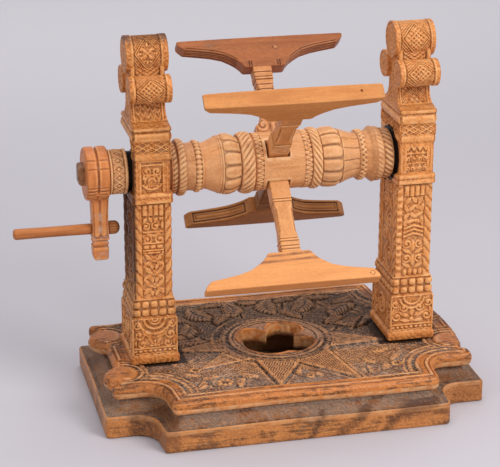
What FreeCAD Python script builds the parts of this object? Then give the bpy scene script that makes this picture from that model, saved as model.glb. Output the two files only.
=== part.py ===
import FreeCAD, Part
import math
import os

V = FreeCAD.Vector
os.makedirs("parts", exist_ok=True)

# ------------------------------------------------------------------ driving dimensions (mm)
# X runs along the reel's axle (crank on -X), -Y is the front, Z is up, the base stands on Z = 0.

# base block: a two-tier moulded plank with notched corners, hollowed from below
BASE_HALF_LEN = 181.0        # lower tier, centre to its left and right ends
BASE_HALF_DEPTH = 125.0      # lower tier, centre to its front and back edges
EAR_HALF_DEPTH = 84.0        # lower tier's ears beside the notched corners
NOTCH_IN = 47.0              # lower tier's front edge stops this far short of its ends
TIER_STEP = 9.0              # the upper tier is set back this much all round
NOTCH_R = 21.0               # hollow curve in each corner
LOWER_TOP = 21.5             # top of the lower tier's upright edge
COVE_TOP = 31.0              # the cove between the tiers ends here
UPPER_BOTTOM = 33.5          # underside of the upper tier's overhang
BASE_TOP = 47.0              # top of the base
EDGE_ROUND = 3.0             # rounding of the upper tier's edges
EAR_IN = 7.0                 # upper tier's ears stop this far short of the lower tier's ends
SIDE_IN = 17.0               # and its sides between the lobes this far short of them
EAR_WIDE = 8.0               # upper tier's ears, along Y
EAR_SLOPE = 4.0              # sloping side of those ears, along Y
LOBE_R = 17.0                # rounded lobes on the upper tier's left side
LOBE_Y = 44.5                # centre of those lobes
LONG_LOBE_OUT = 9.0          # the long lobe on the right stands out this much
LONG_LOBE_Y = 45.0           # and its shoulders are this far from the middle
LONG_LOBE_BOW = 3.0          # its middle stands out this much more
COVE_IN = 7.0                # the throat under the overhang is set back this much more
WELL_LID = 12.0              # wood left above the hollow
HOLLOW_HALF_LEN = 84.0
HOLLOW_HALF_DEPTH = 66.0
BOARD_T = 6.0                # bottom board that closes the hollow
BOARD_LAP = 9.0              # rebate around the hollow that takes the board
# well in the lid: four overlapping lobes (x, y, radius)
WELL_LOBES = [(-10.0, -8.0, 25.0), (16.0, -15.0, 18.5), (11.0, 21.0, 17.5), (-24.0, 12.0, 15.5)]
# carved field of the upper tier: sunk ground, a ring round the well, star points in front, bosses behind
FIELD_IN = 14.0              # plain rim around the field
FIELD_SUNK = 2.0
STAR_UP = 1.2                # height of the star points above the ground
BOSS_UP = 1.7                # height of the leaf bosses above the ground
RING_X, RING_Y, RING_R = -1.0, 2.0, 46.5
RING_GAP = 8.0               # petals between the ring and the star's feet
STAR_TIPS = [(-86.0, -52.0), (-26.0, -105.0), (60.0, -105.0), (-101.0, -5.0), (101.0, -22.0)]
STAR_FOOT = 20.0             # half width of a star point's foot
LEAF_BOSSES = [(-82, 38, 12), (-62, 76, 13), (-27, 86, 12), (10, 85, 12), (46, 80, 13), (80, 64, 12), (84, 28, 11),
               (-120, 72, 9), (118, 72, 9), (-118, -66, 9), (116, -66, 9), (-96, 96, 8), (96, 96, 8)]
NAIL_R, NAIL_HEAD_R, NAIL_LEN = 0.9, 2.0, 12.0
NAIL_INSET = 4.5             # from the board's edge to a nail's centre

# posts
POST_INSET = 56.0            # from the base's end to a post's centre
POST_X = BASE_HALF_LEN - POST_INSET
AXLE_Z = 227.5               # height of the reel's axle
POST_TOP = 354.0
TENON_X, TENON_Y = 24.0, 38.0
WEDGE_T, WEDGE_DEEP = 3.0, 22.0
FOOT_X, FOOT_Y = 23.3, 31.0  # half width (X) and half depth (Y) of each stage
PED_X, PED_Y = 21.5, 30.5
BEAD_X, BEAD_Y = 20.5, 29.5
SHAFT_X, SHAFT_Y = 18.0, 27.5
LEDGE_X, LEDGE_Y = 18.0, 30.0
BLOCK_X, BLOCK_Y = 16.4, 28.5
BAND_X, BAND_Y = 17.8, 30.0
NECK_X, NECK_Y = 16.0, 13.0
FOOT_TOP, PED_TOP, BEAD_TOP = 54.0, 93.5, 110.5
LEDGE_BOTTOM, LEDGE_TOP = 204.0, 213.5
BLOCK_TOP, BAND_BOTTOM, BAND_TOP = 244.0, 252.0, 262.0
TORUS_TOP, FILLET_TOP = 272.0, 276.0
FLARE_TOP = 290.0
LOW_ROLL_R, LOW_ROLL_Y, LOW_ROLL_Z, LOW_ROLL_X = 12.8, 20.5, 309.0, 19.4
TOP_ROLL_R, TOP_ROLL_X = 17.0, 19.4
ROLL_END, ROLL_SUNK = 5.2, 0.9               # plain end bands of the rolls, and the carving between them
# carved panels: depth, plain frame beside them, and the rope columns' width
PANEL_SUNK = 2.0
PED_FRAME, ROPE_W, STRIP_W = 2.2, 8.5, 7.0
PED_FOOT_BAND = 9.2          # plain band under the pedestal's panel
BOSS_R = 6.5                 # scroll bosses
VINE_STEP = 17.0             # spacing of the vine's scrolls up the shaft
VINE_OUT = 7.5               # and their distance from the middle
ROW_GAP = 2.4                # groove between the two rows of billets

# reel drum (turned about X); lengths are from the middle of the drum
JOURNAL_R = 20.0
BORE_CLEAR = 0.05            # radial running clearance of both bearings
JOURNAL_RIGHT = 15.0         # right journal's length past the post's centre
END_GAP = 2.2                # between the drum's end rings and the posts' widest mouldings
DRUM_HALF = POST_X - BAND_X - END_GAP
DRUM_R = 27.0                # plain centre section
COLLAR_R, COLLAR_LEN = 21.0, 17.5
COLLAR_IN = POST_X + BAND_X + 1.7            # collar's inner face, just clear of the left post
COLLAR_OUT = COLLAR_IN + COLLAR_LEN
AXLE_SQ = 17.5               # square end that carries the crank
AXLE_STANDOUT = 5.5          # how far it stands out of the crank
SLOT_TOP = 35.0              # left bearing: ceiling of its open slot above the axle
SLOT_LIP = 16.0              # left bearing: height of the floor's lip below the axle
SLOT_DROP = 30.0             # left bearing: floor at the back face, below the axle
SLOT_ROUND = 10.0

# arms and crossbars (radii are from the axle)
REEL_TILT = 46.2             # how far the top front arm leans forward from upright
ARM_X, ARM_T = 18.0, 15.0    # arm section along X and across it
MORTISE_GAP = 1.5            # loose fit of the arm's shoulder in the drum's mortise, each side
SHOULDER_R = 19.0            # floor of the wide mortise
STUB_X, STUB_T = 12.0, 9.0   # stub tenons at both ends of an arm
STUB_IN_R = 11.0             # floor of the drum's stub mortise
STUB_OUT = 15.0              # stub tenon's length in the crossbar
ROOT_X, ROOT_TOP, ROOT_T = 17.0, 44.0, 9.0   # scrolled root of the two back arms
BAR_IN_R, BAR_OUT_R = 95.5, 127.5
BAR_HALF, BAR_T = 80.8, 16.0
ARM_FOOT, ARM_HEAD = 14.0, 13.0              # square lengths next to the drum and the bar
ARM_BEVEL = 2.2
BAR_FLAT = 19.4              # half width of the bar's inner flat
BAR_HAUNCH, BAR_HAUNCH_T = 12.0, 20.5        # from the flat to the hollow's middle, thickness there
BAR_WING, BAR_WING_T = 30.0, 13.4            # from the flat to the hollow's end, thickness there
BAR_END_T, BAR_TIP_T, BAR_TIP = 9.3, 4.0, 6.0
# (name, quarter turns from the top front arm, arm's X, bar's X, scrolled root)
ARMS = [
    ("top_front", 0, -6.0, -9.5, False),
    ("top_back", 1, -1.5, 1.5, True),
    ("bottom_back", 2, 3.0, 9.0, True),
    ("bottom_front", 3, -5.5, -8.0, False),
]

# crank and handle
CRANK_IN = COLLAR_OUT
CRANK_OUT = CRANK_IN + 21.0
AXLE_TIP = CRANK_OUT + AXLE_STANDOUT
CRANK_HEAD_R = 24.5
CRANK_FILLET_Z = 206.0
CRANK_FILLET_Y = 19.0
SHANK_IN, SHANK_OUT, SHANK_Y = CRANK_IN, CRANK_IN + 15.5, 9.0
SHANK_BOTTOM, CRANK_BOTTOM = 165.0, 145.0
HANDLE_Z = 174.0
HANDLE_AF = 9.4              # octagonal grip, across flats
HANDLE_GRIP = 71.7           # free length of the grip
PIN_R = 3.5
KNOB_R, KNOB_LEN = 6.3, 10.5
SIDE_PLAY = 0.3              # end play of the handle in the crank


# ------------------------------------------------------------------ small helpers
def box(x0, x1, y0, y1, z0, z1):
    """Axis-aligned box between two corners."""
    return Part.makeBox(x1 - x0, y1 - y0, z1 - z0, V(x0, y0, z0))


def stage(half_x, half_y, z0, z1):
    """Box centred on the Z axis."""
    return box(-half_x, half_x, -half_y, half_y, z0, z1)


def rod_x(radius, x0, x1, y=0.0, z=0.0):
    """Cylinder along X."""
    return Part.makeCylinder(radius, x1 - x0, V(x0, y, z), V(1, 0, 0))


def prism(points, thickness, direction):
    """Closed outline extruded by thickness along direction."""
    wire = Part.makePolygon(points + [points[0]])
    return Part.Face(wire).extrude(direction * thickness)


def fuse(solids):
    """One clean solid from overlapping or touching pieces."""
    return solids[0].multiFuse(solids[1:]).removeSplitter()


def save(shape, name):
    """Write one node's STEP file."""
    shape.exportStep("parts/" + name + ".step")


# ------------------------------------------------------------------ base
def corner(x_front, y_front, y_ear, x_ear, radius, sx, sy):
    """One notched corner from the front edge to the ear's end, as edges' points:
    start, end of the upright cheek, middle and end of the hollow curve, ear's end."""
    cx, cy = x_front + 2.0 + radius, y_ear + radius
    mid = radius * math.sqrt(0.5)
    raw = [(x_front, y_front), (x_front + 2.0, cy), (cx - mid, cy - mid), (cx, y_ear), (x_ear, y_ear)]
    return [(sx * x, sy * y) for x, y in raw]


def tier_wire(z, inset, side_left, side_right):
    """Closed outline of a tier at height z; side_left and side_right are the (x, y) points
    between the ears."""
    x_front, y_front = BASE_HALF_LEN - NOTCH_IN - inset, BASE_HALF_DEPTH - inset / 2
    y_ear, x_ear = EAR_HALF_DEPTH - inset, BASE_HALF_LEN - inset
    return notched_wire(z, x_front, y_front, y_ear, x_ear, NOTCH_R, side_left, side_right)


def notched_wire(z, x_front, y_front, y_ear, x_ear, radius, side_left, side_right):
    """Closed outline with four notched corners. Going round from the front left corner, each
    is a cheek, a hollow curve and the ear's edge."""
    edges = []

    def line(a, b):
        edges.append(Part.makeLine(V(a[0], a[1], z), V(b[0], b[1], z)))

    def hollow(points):
        a, m, b = [V(p[0], p[1], z) for p in points]
        edges.append(Part.Arc(a, m, b).toShape())

    fr = corner(x_front, y_front, y_ear, x_ear, radius, 1, -1)
    br = corner(x_front, y_front, y_ear, x_ear, radius, 1, 1)
    bl = corner(x_front, y_front, y_ear, x_ear, radius, -1, 1)
    fl = corner(x_front, y_front, y_ear, x_ear, radius, -1, -1)

    line(fl[0], fr[0])
    line(fr[0], fr[1])
    hollow(fr[1:4])
    line(fr[3], fr[4])
    path = [fr[4]] + side_right + [br[4]]
    for a, b in zip(path, path[1:]):
        line(a, b)
    line(br[4], br[3])
    hollow([br[3], br[2], br[1]])
    line(br[1], br[0])
    line(br[0], bl[0])
    line(bl[0], bl[1])
    hollow(bl[1:4])
    line(bl[3], bl[4])
    path = [bl[4]] + side_left + [fl[4]]
    for a, b in zip(path, path[1:]):
        line(a, b)
    line(fl[4], fl[3])
    hollow([fl[3], fl[2], fl[1]])
    line(fl[1], fl[0])
    return Part.Wire(edges)


def slab(wire, height):
    """Flat plate from an outline."""
    return Part.Face(wire).extrude(V(0, 0, height))


def field_ground():
    """Wood carved away over the upper tier's field, down to the ground."""
    floor, lid = BASE_TOP - FIELD_SUNK, FIELD_SUNK + 1
    radius = NOTCH_R + FIELD_IN
    cx = BASE_HALF_LEN - NOTCH_IN - TIER_STEP + 2 + NOTCH_R
    cy = EAR_HALF_DEPTH - TIER_STEP + NOTCH_R
    y_front = BASE_HALF_DEPTH - TIER_STEP / 2 - FIELD_IN
    x_ear = BASE_HALF_LEN - SIDE_IN - FIELD_IN
    ground = slab(notched_wire(floor, cx - 2 - radius, y_front, cy - radius, x_ear, radius, [], []), lid)
    kept = [Part.makeCylinder(RING_R, lid, V(RING_X, RING_Y, floor))]
    for side in (-1, 1):
        pad = stage(FOOT_X - 1, FOOT_Y - 1, floor, floor + lid)
        kept.append(pad.translated(V(side * POST_X, 0, 0)))
    for x, y in STAR_TIPS:
        away = V(x - RING_X, y - RING_Y, 0).normalize()
        across = V(-away.y, away.x, 0) * STAR_FOOT
        foot = V(RING_X, RING_Y, floor) + away * (RING_R + RING_GAP)
        kept.append(prism([foot - across, foot + across, V(x, y, floor)], STAR_UP, V(0, 0, 1)))
    for x, y, r in LEAF_BOSSES:
        kept.append(Part.makeCylinder(r, BOSS_UP, V(x, y, floor)))
    return ground.cut(kept[0].multiFuse(kept[1:]))


def base_block():
    """Plank with its two tiers, the cove between them, lobed ends, the well and the hollow."""
    lower = slab(tier_wire(0, 0, [], []), LOWER_TOP)
    cove_in = TIER_STEP + COVE_IN
    cove = Part.makeLoft([tier_wire(LOWER_TOP, 0.8, [], []), tier_wire(COVE_TOP, cove_in, [], [])], True, True)
    throat = slab(tier_wire(COVE_TOP, cove_in, [], []), UPPER_BOTTOM - COVE_TOP)

    # upper tier: sloping ears, then two lobes on the left side and one long lobe on the right
    ear_x, side_x = BASE_HALF_LEN - EAR_IN, BASE_HALF_LEN - SIDE_IN
    ear_y = EAR_HALF_DEPTH - TIER_STEP - EAR_WIDE
    neck_y = ear_y - EAR_SLOPE
    long_x = side_x + LONG_LOBE_OUT - LONG_LOBE_BOW
    half_right = [(ear_x, ear_y), (side_x, neck_y - EAR_SLOPE - 2), (long_x, LONG_LOBE_Y),
                  (long_x + LONG_LOBE_BOW, LONG_LOBE_Y - 25)]
    side_right = [(x, -y) for x, y in half_right] + half_right[::-1]
    side_left = [(-ear_x, ear_y), (-side_x, neck_y), (-side_x, -neck_y), (-ear_x, -ear_y)]
    upper = slab(tier_wire(UPPER_BOTTOM, TIER_STEP, side_left, side_right), BASE_TOP - UPPER_BOTTOM)
    lobes = []
    for y in (-LOBE_Y, LOBE_Y):
        lobes.append(Part.makeCylinder(LOBE_R, BASE_TOP - UPPER_BOTTOM, V(-side_x + 4, y, UPPER_BOTTOM)))
    upper = upper.multiFuse(lobes).removeSplitter()
    rim = [e for e in upper.Edges if abs(e.BoundBox.ZMin - BASE_TOP) < 1e-6 and e.BoundBox.ZLength < 1e-6]
    upper = upper.makeChamfer(EDGE_ROUND, rim).cut(field_ground())

    block = fuse([lower, cove, throat, upper])

    # hollow from below with a rebate for the bottom board, and the lobed well in the lid
    cuts = [stage(HOLLOW_HALF_LEN, HOLLOW_HALF_DEPTH, BOARD_T, BASE_TOP - WELL_LID)]
    cuts.append(stage(HOLLOW_HALF_LEN + BOARD_LAP, HOLLOW_HALF_DEPTH + BOARD_LAP, 0, BOARD_T))
    for x, y, r in WELL_LOBES:
        cuts.append(Part.makeCylinder(r, WELL_LID, V(x, y, BASE_TOP - WELL_LID)))
    for side in (-1, 1):
        cuts.append(stage(TENON_X / 2, TENON_Y / 2, 0, BASE_TOP).translated(V(side * POST_X, 0, 0)))
    cuts += [nail_shank(p) for p in nail_places()]
    return block.cut(cuts[0].multiFuse(cuts[1:])).removeSplitter()


def nail_places():
    """Four nails, one near each corner of the bottom board."""
    x = HOLLOW_HALF_LEN + BOARD_LAP - NAIL_INSET
    y = HOLLOW_HALF_DEPTH + BOARD_LAP - NAIL_INSET
    return [(sx * x, sy * y) for sx in (-1, 1) for sy in (-1, 1)]


def nail_shank(place):
    """A nail's round shank, driven upward."""
    return Part.makeCylinder(NAIL_R, NAIL_LEN, V(place[0], place[1], 0))


def nail_head(place):
    """Countersunk head, flush with the board's underside."""
    return Part.makeCone(NAIL_HEAD_R, NAIL_R, 1.6, V(place[0], place[1], 0))


def nails():
    """All four nails, one node."""
    return Part.makeCompound([nail_shank(p).fuse(nail_head(p)).removeSplitter() for p in nail_places()])


def bottom_board():
    """Thin board let into the underside, with the nail holes."""
    board = stage(HOLLOW_HALF_LEN + BOARD_LAP, HOLLOW_HALF_DEPTH + BOARD_LAP, 0, BOARD_T)
    holes = [nail_shank(p) for p in nail_places()] + [nail_head(p) for p in nail_places()]
    return board.cut(holes[0].multiFuse(holes[1:]))


# ------------------------------------------------------------------ posts
def wedge():
    """Thin wedge driven up into a post's tenon."""
    half = WEDGE_T / 2
    outline = [V(-half, 0, 0), V(half, 0, 0), V(half * 0.3, 0, WEDGE_DEEP), V(-half * 0.3, 0, WEDGE_DEEP)]
    return prism([p - V(0, TENON_Y / 2, 0) for p in outline], TENON_Y, V(0, 1, 0))


def post_blank():
    """A post about its own centre line, without its bearing: tenon, pedestal, shaft, ledge,
    block, band and torus, flared neck and the rolls of the finial."""
    pieces = [
        stage(TENON_X / 2, TENON_Y / 2, 0, BASE_TOP),
        stage(FOOT_X, FOOT_Y, BASE_TOP, FOOT_TOP),
        stage(PED_X, PED_Y, FOOT_TOP, PED_TOP),
        stage(BEAD_X, BEAD_Y, PED_TOP, BEAD_TOP),
        stage(SHAFT_X, SHAFT_Y, BEAD_TOP, LEDGE_BOTTOM),
        stage(LEDGE_X, LEDGE_Y, LEDGE_BOTTOM, LEDGE_TOP),
        stage(BLOCK_X, BLOCK_Y, LEDGE_TOP, BLOCK_TOP),
        stage(BAND_X - 0.8, BAND_Y - 0.8, BLOCK_TOP, BAND_BOTTOM),
        stage(BAND_X, BAND_Y, BAND_BOTTOM, BAND_TOP),
    ]
    # torus and fillet under the neck, chamfered like a worn moulding
    torus = stage(BAND_X, BAND_Y, BAND_TOP, TORUS_TOP)
    pieces.append(torus.makeChamfer(1.2, [e for e in torus.Edges if e.BoundBox.ZLength < 1e-6]))
    pieces.append(stage(BAND_X - 0.4, BAND_Y - 0.4, TORUS_TOP, FILLET_TOP))
    # flare: hollow-sided from the fillet in to the neck
    steps = [(0.0, NECK_Y + 13.0), (0.25, NECK_Y + 6.0), (0.55, NECK_Y + 2.0), (1.0, NECK_Y)]
    outline = [V(0, s * y, FILLET_TOP + f * (FLARE_TOP - FILLET_TOP))
               for s, rows in ((-1, steps), (1, steps[::-1])) for f, y in rows]
    pieces.append(prism([p - V(NECK_X, 0, 0) for p in outline], 2 * NECK_X, V(1, 0, 0)))
    top_z = POST_TOP - TOP_ROLL_R
    pieces.append(stage(NECK_X, NECK_Y, FLARE_TOP, top_z))
    for y in (-LOW_ROLL_Y, LOW_ROLL_Y):
        pieces += roll(LOW_ROLL_R, LOW_ROLL_X, y, LOW_ROLL_Z)
    pieces += roll(TOP_ROLL_R, TOP_ROLL_X, 0, top_z)
    blank = fuse(pieces)
    sunk = panels()
    return blank.cut(sunk[0].multiFuse(sunk[1:]))


def roll(radius, half_x, y, z):
    """Roll along X with plain end bands and a slightly sunk, carved middle."""
    inner = half_x - ROLL_END
    return [rod_x(radius - ROLL_SUNK, -inner, inner, y, z), rod_x(radius, -half_x, -inner, y, z),
            rod_x(radius, inner, half_x, y, z)]


def sunk_panel(face_x, half_a, z0, z1, kept):
    """Ground of a carved panel on both faces square to X: a shallow box less the kept bosses,
    which are (a, z, radius) discs or (a0, a1, z0, z1) bars."""
    out = []
    for side in (-1, 1):
        x0, x1 = sorted((side * (face_x - PANEL_SUNK), side * (face_x + 1)))
        ground = box(x0, x1, -half_a, half_a, z0, z1)
        for shape in kept:
            if len(shape) == 3:
                ground = ground.cut(rod_x(shape[2], x0, x1, shape[0], shape[1]))
            else:
                ground = ground.cut(box(x0, x1, shape[0], shape[1], shape[2], shape[3]))
        out.append(ground)
    return out


def panels():
    """Everything carved away from a post: panels with bosses on all four faces, and the groove
    between the billets. Panels square to Y are built square to X and swung a quarter turn."""
    ped0, ped1 = FOOT_TOP + PED_FOOT_BAND - 5, PED_TOP - 3
    low, high = BEAD_TOP + 1.5, LEDGE_BOTTOM - 1
    ped_mid = (ped0 + ped1) / 2 + 2
    vine = [((-1) ** k * VINE_OUT, low + (k + 0.5) * VINE_STEP, BOSS_R) for k in range(int((high - low) / VINE_STEP))]
    out = sunk_panel(PED_X, PED_Y - PED_FRAME, ped0, ped1, [(0, ped_mid, 2 * BOSS_R - 1)])
    out += sunk_panel(SHAFT_X, SHAFT_Y - ROPE_W - 1.5, low, high, vine)
    narrow = SHAFT_X - ROPE_W
    buds = [(0, low + 12 + 13.0 * k, 4.4) for k in range(3)]
    bars = [(-narrow + 0.6, narrow - 0.6, high - 11, high), (-narrow + 0.6, narrow - 0.6, high - 38, high - 28)]
    front = sunk_panel(PED_Y, PED_X - PED_FRAME, ped0, ped1,
                       [(-10.5, ped_mid, BOSS_R + 1.5), (10.5, ped_mid, BOSS_R + 1.5)])
    front += sunk_panel(SHAFT_Y, narrow, low, high, buds + bars)
    front += sunk_panel(BLOCK_Y, BLOCK_X - STRIP_W, LEDGE_TOP + 1, BLOCK_TOP - 1.4, [(-4.7, 232.5, 4.0), (4.7, 232.5, 4.0)])
    for ground in front:
        ground.rotate(V(0, 0, 0), V(0, 0, 1), 90)
        out.append(ground)
    mid = (PED_TOP + BEAD_TOP) / 2
    rows = stage(BEAD_X + 1, BEAD_Y + 1, mid - ROW_GAP / 2, mid + ROW_GAP / 2)
    out.append(rows.cut(stage(BEAD_X - PANEL_SUNK, BEAD_Y - PANEL_SUNK, mid - ROW_GAP, mid + ROW_GAP)))
    return out


def closed_bearing():
    """Round bore right through the post, along X."""
    return rod_x(JOURNAL_R + BORE_CLEAR, -BAND_X - 2, BAND_X + 2, 0, AXLE_Z)


def open_bearing():
    """Slot open at the back: a round cradle for the journal, a lip behind it and headroom
    above, so that the reel can be lifted over the lip and drawn out."""
    r = JOURNAL_R + BORE_CLEAR
    back = BAND_Y + 2
    lip_y = math.sqrt(r * r - SLOT_LIP * SLOT_LIP)
    outline = [V(0, -r, 0), V(0, -r, SLOT_TOP - SLOT_ROUND), V(0, -r + SLOT_ROUND, SLOT_TOP),
               V(0, back, SLOT_TOP), V(0, back, -SLOT_DROP), V(0, lip_y, -SLOT_LIP), V(0, 0, 0)]
    slot = prism([p + V(-BAND_X - 2, 0, AXLE_Z) for p in outline], 2 * BAND_X + 4, V(1, 0, 0))
    return slot.fuse(closed_bearing())


def post(side):
    """One finished post: side -1 has the open bearing, side +1 the closed one."""
    bearing = open_bearing() if side < 0 else closed_bearing()
    solid = post_blank().cut(bearing.fuse(wedge())).removeSplitter()
    return solid.translated(V(side * POST_X, 0, 0))


def wedges():
    """Both tenon wedges, one node."""
    return Part.makeCompound([wedge().translated(V(side * POST_X, 0, 0)) for side in (-1, 1)])


# ------------------------------------------------------------------ reel
def drum_half():
    """Half profile (distance from the middle, radius) of the drum's body, middle outward."""
    ring = DRUM_R + 0.4
    inner = [
        (0, DRUM_R), (24, DRUM_R), (24, ring), (25, ring + 0.3), (37, ring + 0.3), (38, ring - 1.0),
        (39, DRUM_R - 3), (43, DRUM_R - 1), (52, DRUM_R - 0.2), (60, DRUM_R - 2.5),
    ]
    # from the drum's end: neck, bead ring, neck, rope ring, end ring
    outer = [(37, 7.0), (33, 7.4), (31.5, 4), (23, 4), (21.5, 6.4), (17, 6.4), (15.5, 2), (8, 2), (7, 4), (0, 4)]
    return inner + [(DRUM_HALF - in_by, DRUM_R - down) for in_by, down in outer]


def drum():
    """Turned drum with both journals, the collar and the square end in one piece of wood."""
    right = drum_half()
    left = [(-x, r) for x, r in right[::-1]]
    profile = [(-COLLAR_OUT, 0), (-COLLAR_OUT, COLLAR_R), (-COLLAR_IN, COLLAR_R), (-COLLAR_IN, JOURNAL_R),
               (-DRUM_HALF, JOURNAL_R)] + left[:-1] + right
    right_end = POST_X + JOURNAL_RIGHT
    profile += [(DRUM_HALF, JOURNAL_R), (right_end, JOURNAL_R), (right_end, 0)]
    wire = Part.makePolygon([V(x, 0, r) for x, r in profile + [profile[0]]])
    body = Part.Face(wire).revolve(V(0, 0, 0), V(1, 0, 0), 360)
    half = AXLE_SQ / 2
    tip = box(-AXLE_TIP, -COLLAR_OUT, -half, half, -half, half)
    end = [e for e in tip.Edges if e.BoundBox.XMax < -AXLE_TIP + 1e-6]
    body = body.fuse(tip.makeChamfer(1.2, end))
    cuts = []
    for name, turns, arm_x, bar_x, scrolled in ARMS:
        wide_x, wide_t = ARM_X / 2 + MORTISE_GAP, ARM_T / 2 + MORTISE_GAP
        wide = stage(wide_x, wide_t, SHOULDER_R, DRUM_R + 1)
        stub = stage(STUB_X / 2, STUB_T / 2, STUB_IN_R, SHOULDER_R)
        cuts.append(turned(wide.fuse(stub).translated(V(arm_x, 0, 0)), turns))
    return body.cut(cuts[0].multiFuse(cuts[1:])).removeSplitter().translated(V(0, 0, AXLE_Z))


def turned(shape, turns):
    """Swing a piece built upright about the axle to its quarter turn of the reel."""
    out = shape.copy()
    out.rotate(V(0, 0, 0), V(1, 0, 0), REEL_TILT - 90.0 * turns)
    return out


def arm(turns, arm_x, scrolled):
    """Square arm with stub tenons, fillets near both ends and a chamfered middle; the two
    back arms have a wide scrolled root that saddles the drum."""
    half_x, half_t = ARM_X / 2, ARM_T / 2
    low, high = DRUM_R + ARM_FOOT, BAR_IN_R - ARM_HEAD
    middle = stage(half_x - 0.6, half_t - 0.6, low, high)
    long_edges = [e for e in middle.Edges if e.BoundBox.ZLength > high - low - 1e-6]
    pieces = [
        stage(STUB_X / 2, STUB_T / 2, STUB_IN_R, SHOULDER_R),
        stage(half_x, half_t, SHOULDER_R, low),
        middle.makeChamfer(ARM_BEVEL, long_edges),
        stage(half_x, half_t, high, BAR_IN_R),
        stage(STUB_X / 2, STUB_T / 2, BAR_IN_R, BAR_IN_R + STUB_OUT),
    ]
    if scrolled:
        outline = [V(-ROOT_X, 0, 0), V(-ROOT_X, 0, DRUM_R + 4), V(-half_x, 0, ROOT_TOP),
                   V(half_x, 0, ROOT_TOP), V(ROOT_X, 0, DRUM_R + 4), V(ROOT_X, 0, 0)]
        root = prism([p - V(0, ROOT_T, 0) for p in outline], 2 * ROOT_T, V(0, 1, 0))
        pieces.append(root.cut(rod_x(DRUM_R, -2 * ROOT_X, 2 * ROOT_X)))
    solid = fuse(pieces).translated(V(arm_x, 0, 0))
    return turned(solid, turns).translated(V(0, 0, AXLE_Z))


def bar_outline(y):
    """Crossbar's outline in the plane of the axle and the arm: flat outer face, thick middle,
    hollow wings and chamfered ends."""
    mid_x, wing_x = BAR_FLAT + BAR_HAUNCH, BAR_FLAT + BAR_WING
    depth = BAR_OUT_R - BAR_IN_R

    def at(x, t):
        return V(x, y, BAR_OUT_R - t)

    edges = [Part.makeLine(at(-BAR_HALF, 0), at(BAR_HALF, 0))]
    for s in (1, -1):
        run = [at(s * BAR_HALF, 0), at(s * BAR_HALF, BAR_TIP_T), at(s * (BAR_HALF - BAR_TIP), BAR_END_T),
               at(s * wing_x, BAR_WING_T)]
        edges += [Part.makeLine(a, b) for a, b in zip(run, run[1:])]
        edges.append(Part.Arc(at(s * wing_x, BAR_WING_T), at(s * mid_x, BAR_HAUNCH_T),
                              at(s * BAR_FLAT, depth)).toShape())
    edges.append(Part.makeLine(at(BAR_FLAT, depth), at(-BAR_FLAT, depth)))
    return Part.Wire(Part.__sortEdges__(edges))


def bar(turns, arm_x, bar_x):
    """Crossbar with the blind mortise for its arm."""
    solid = Part.Face(bar_outline(-BAR_T / 2)).extrude(V(0, BAR_T, 0)).translated(V(bar_x, 0, 0))
    pocket = stage(STUB_X / 2, STUB_T / 2, BAR_IN_R, BAR_IN_R + STUB_OUT).translated(V(arm_x, 0, 0))
    return turned(solid.cut(pocket), turns).translated(V(0, 0, AXLE_Z))


# ------------------------------------------------------------------ crank and handle
def crank():
    """Crank: round head grooved round its middle, two fillets, fluted shank, neck and end block."""
    mid = (CRANK_IN + CRANK_OUT) / 2
    head = rod_x(CRANK_HEAD_R, -CRANK_OUT, -CRANK_IN, 0, AXLE_Z)
    groove = rod_x(CRANK_HEAD_R + 1, -mid - 1, -mid + 1, 0, AXLE_Z)
    groove = groove.cut(rod_x(CRANK_HEAD_R - 1.5, -mid - 1, -mid + 1, 0, AXLE_Z))
    shank_mid = (SHANK_IN + SHANK_OUT) / 2
    flutes = [Part.makeCylinder(2.4, CRANK_FILLET_Z - SHANK_BOTTOM - 5,
                                V(-shank_mid + s * 3.6, -SHANK_Y - 1.2, SHANK_BOTTOM + 3)) for s in (-1, 1)]
    pieces = [
        head.cut(groove),
        box(-CRANK_OUT + 1, -CRANK_IN, -CRANK_FILLET_Y, CRANK_FILLET_Y, CRANK_FILLET_Z + 6, AXLE_Z - 4),
        box(-CRANK_OUT + 3, -CRANK_IN, -CRANK_FILLET_Y + 5, CRANK_FILLET_Y - 5, CRANK_FILLET_Z, AXLE_Z - 4),
        box(-SHANK_OUT, -SHANK_IN, -SHANK_Y, SHANK_Y, SHANK_BOTTOM, AXLE_Z - 4),
        box(-SHANK_OUT + 1.5, -SHANK_IN + 1.5, -SHANK_Y + 1.5, SHANK_Y - 1.5, CRANK_BOTTOM + 12, SHANK_BOTTOM),
        box(-SHANK_OUT + 0.5, -SHANK_IN + 0.5, -SHANK_Y + 0.5, SHANK_Y - 0.5, CRANK_BOTTOM, CRANK_BOTTOM + 12),
    ]
    half = AXLE_SQ / 2
    square = box(-AXLE_TIP, -COLLAR_OUT, -half, half, AXLE_Z - half, AXLE_Z + half)
    bore = rod_x(PIN_R + BORE_CLEAR, -SHANK_OUT - 1, -SHANK_IN + 1, 0, HANDLE_Z)
    return fuse(pieces).cut(square.multiFuse([bore] + flutes)).removeSplitter()


def handle_rod():
    """Octagonal grip with a round pin that turns in the crank."""
    outer_r = HANDLE_AF / 2 / math.cos(math.pi / 8)
    ring = [V(0, outer_r * math.cos(a), outer_r * math.sin(a))
            for a in [math.pi / 8 + k * math.pi / 4 for k in range(8)]]
    grip_in = -SHANK_OUT - SIDE_PLAY
    grip = prism([p + V(grip_in - HANDLE_GRIP, 0, HANDLE_Z) for p in ring], HANDLE_GRIP, V(1, 0, 0))
    pin = rod_x(PIN_R, grip_in, -SHANK_IN + SIDE_PLAY + KNOB_LEN - 3, 0, HANDLE_Z)
    return grip.fuse(pin).removeSplitter()


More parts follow.
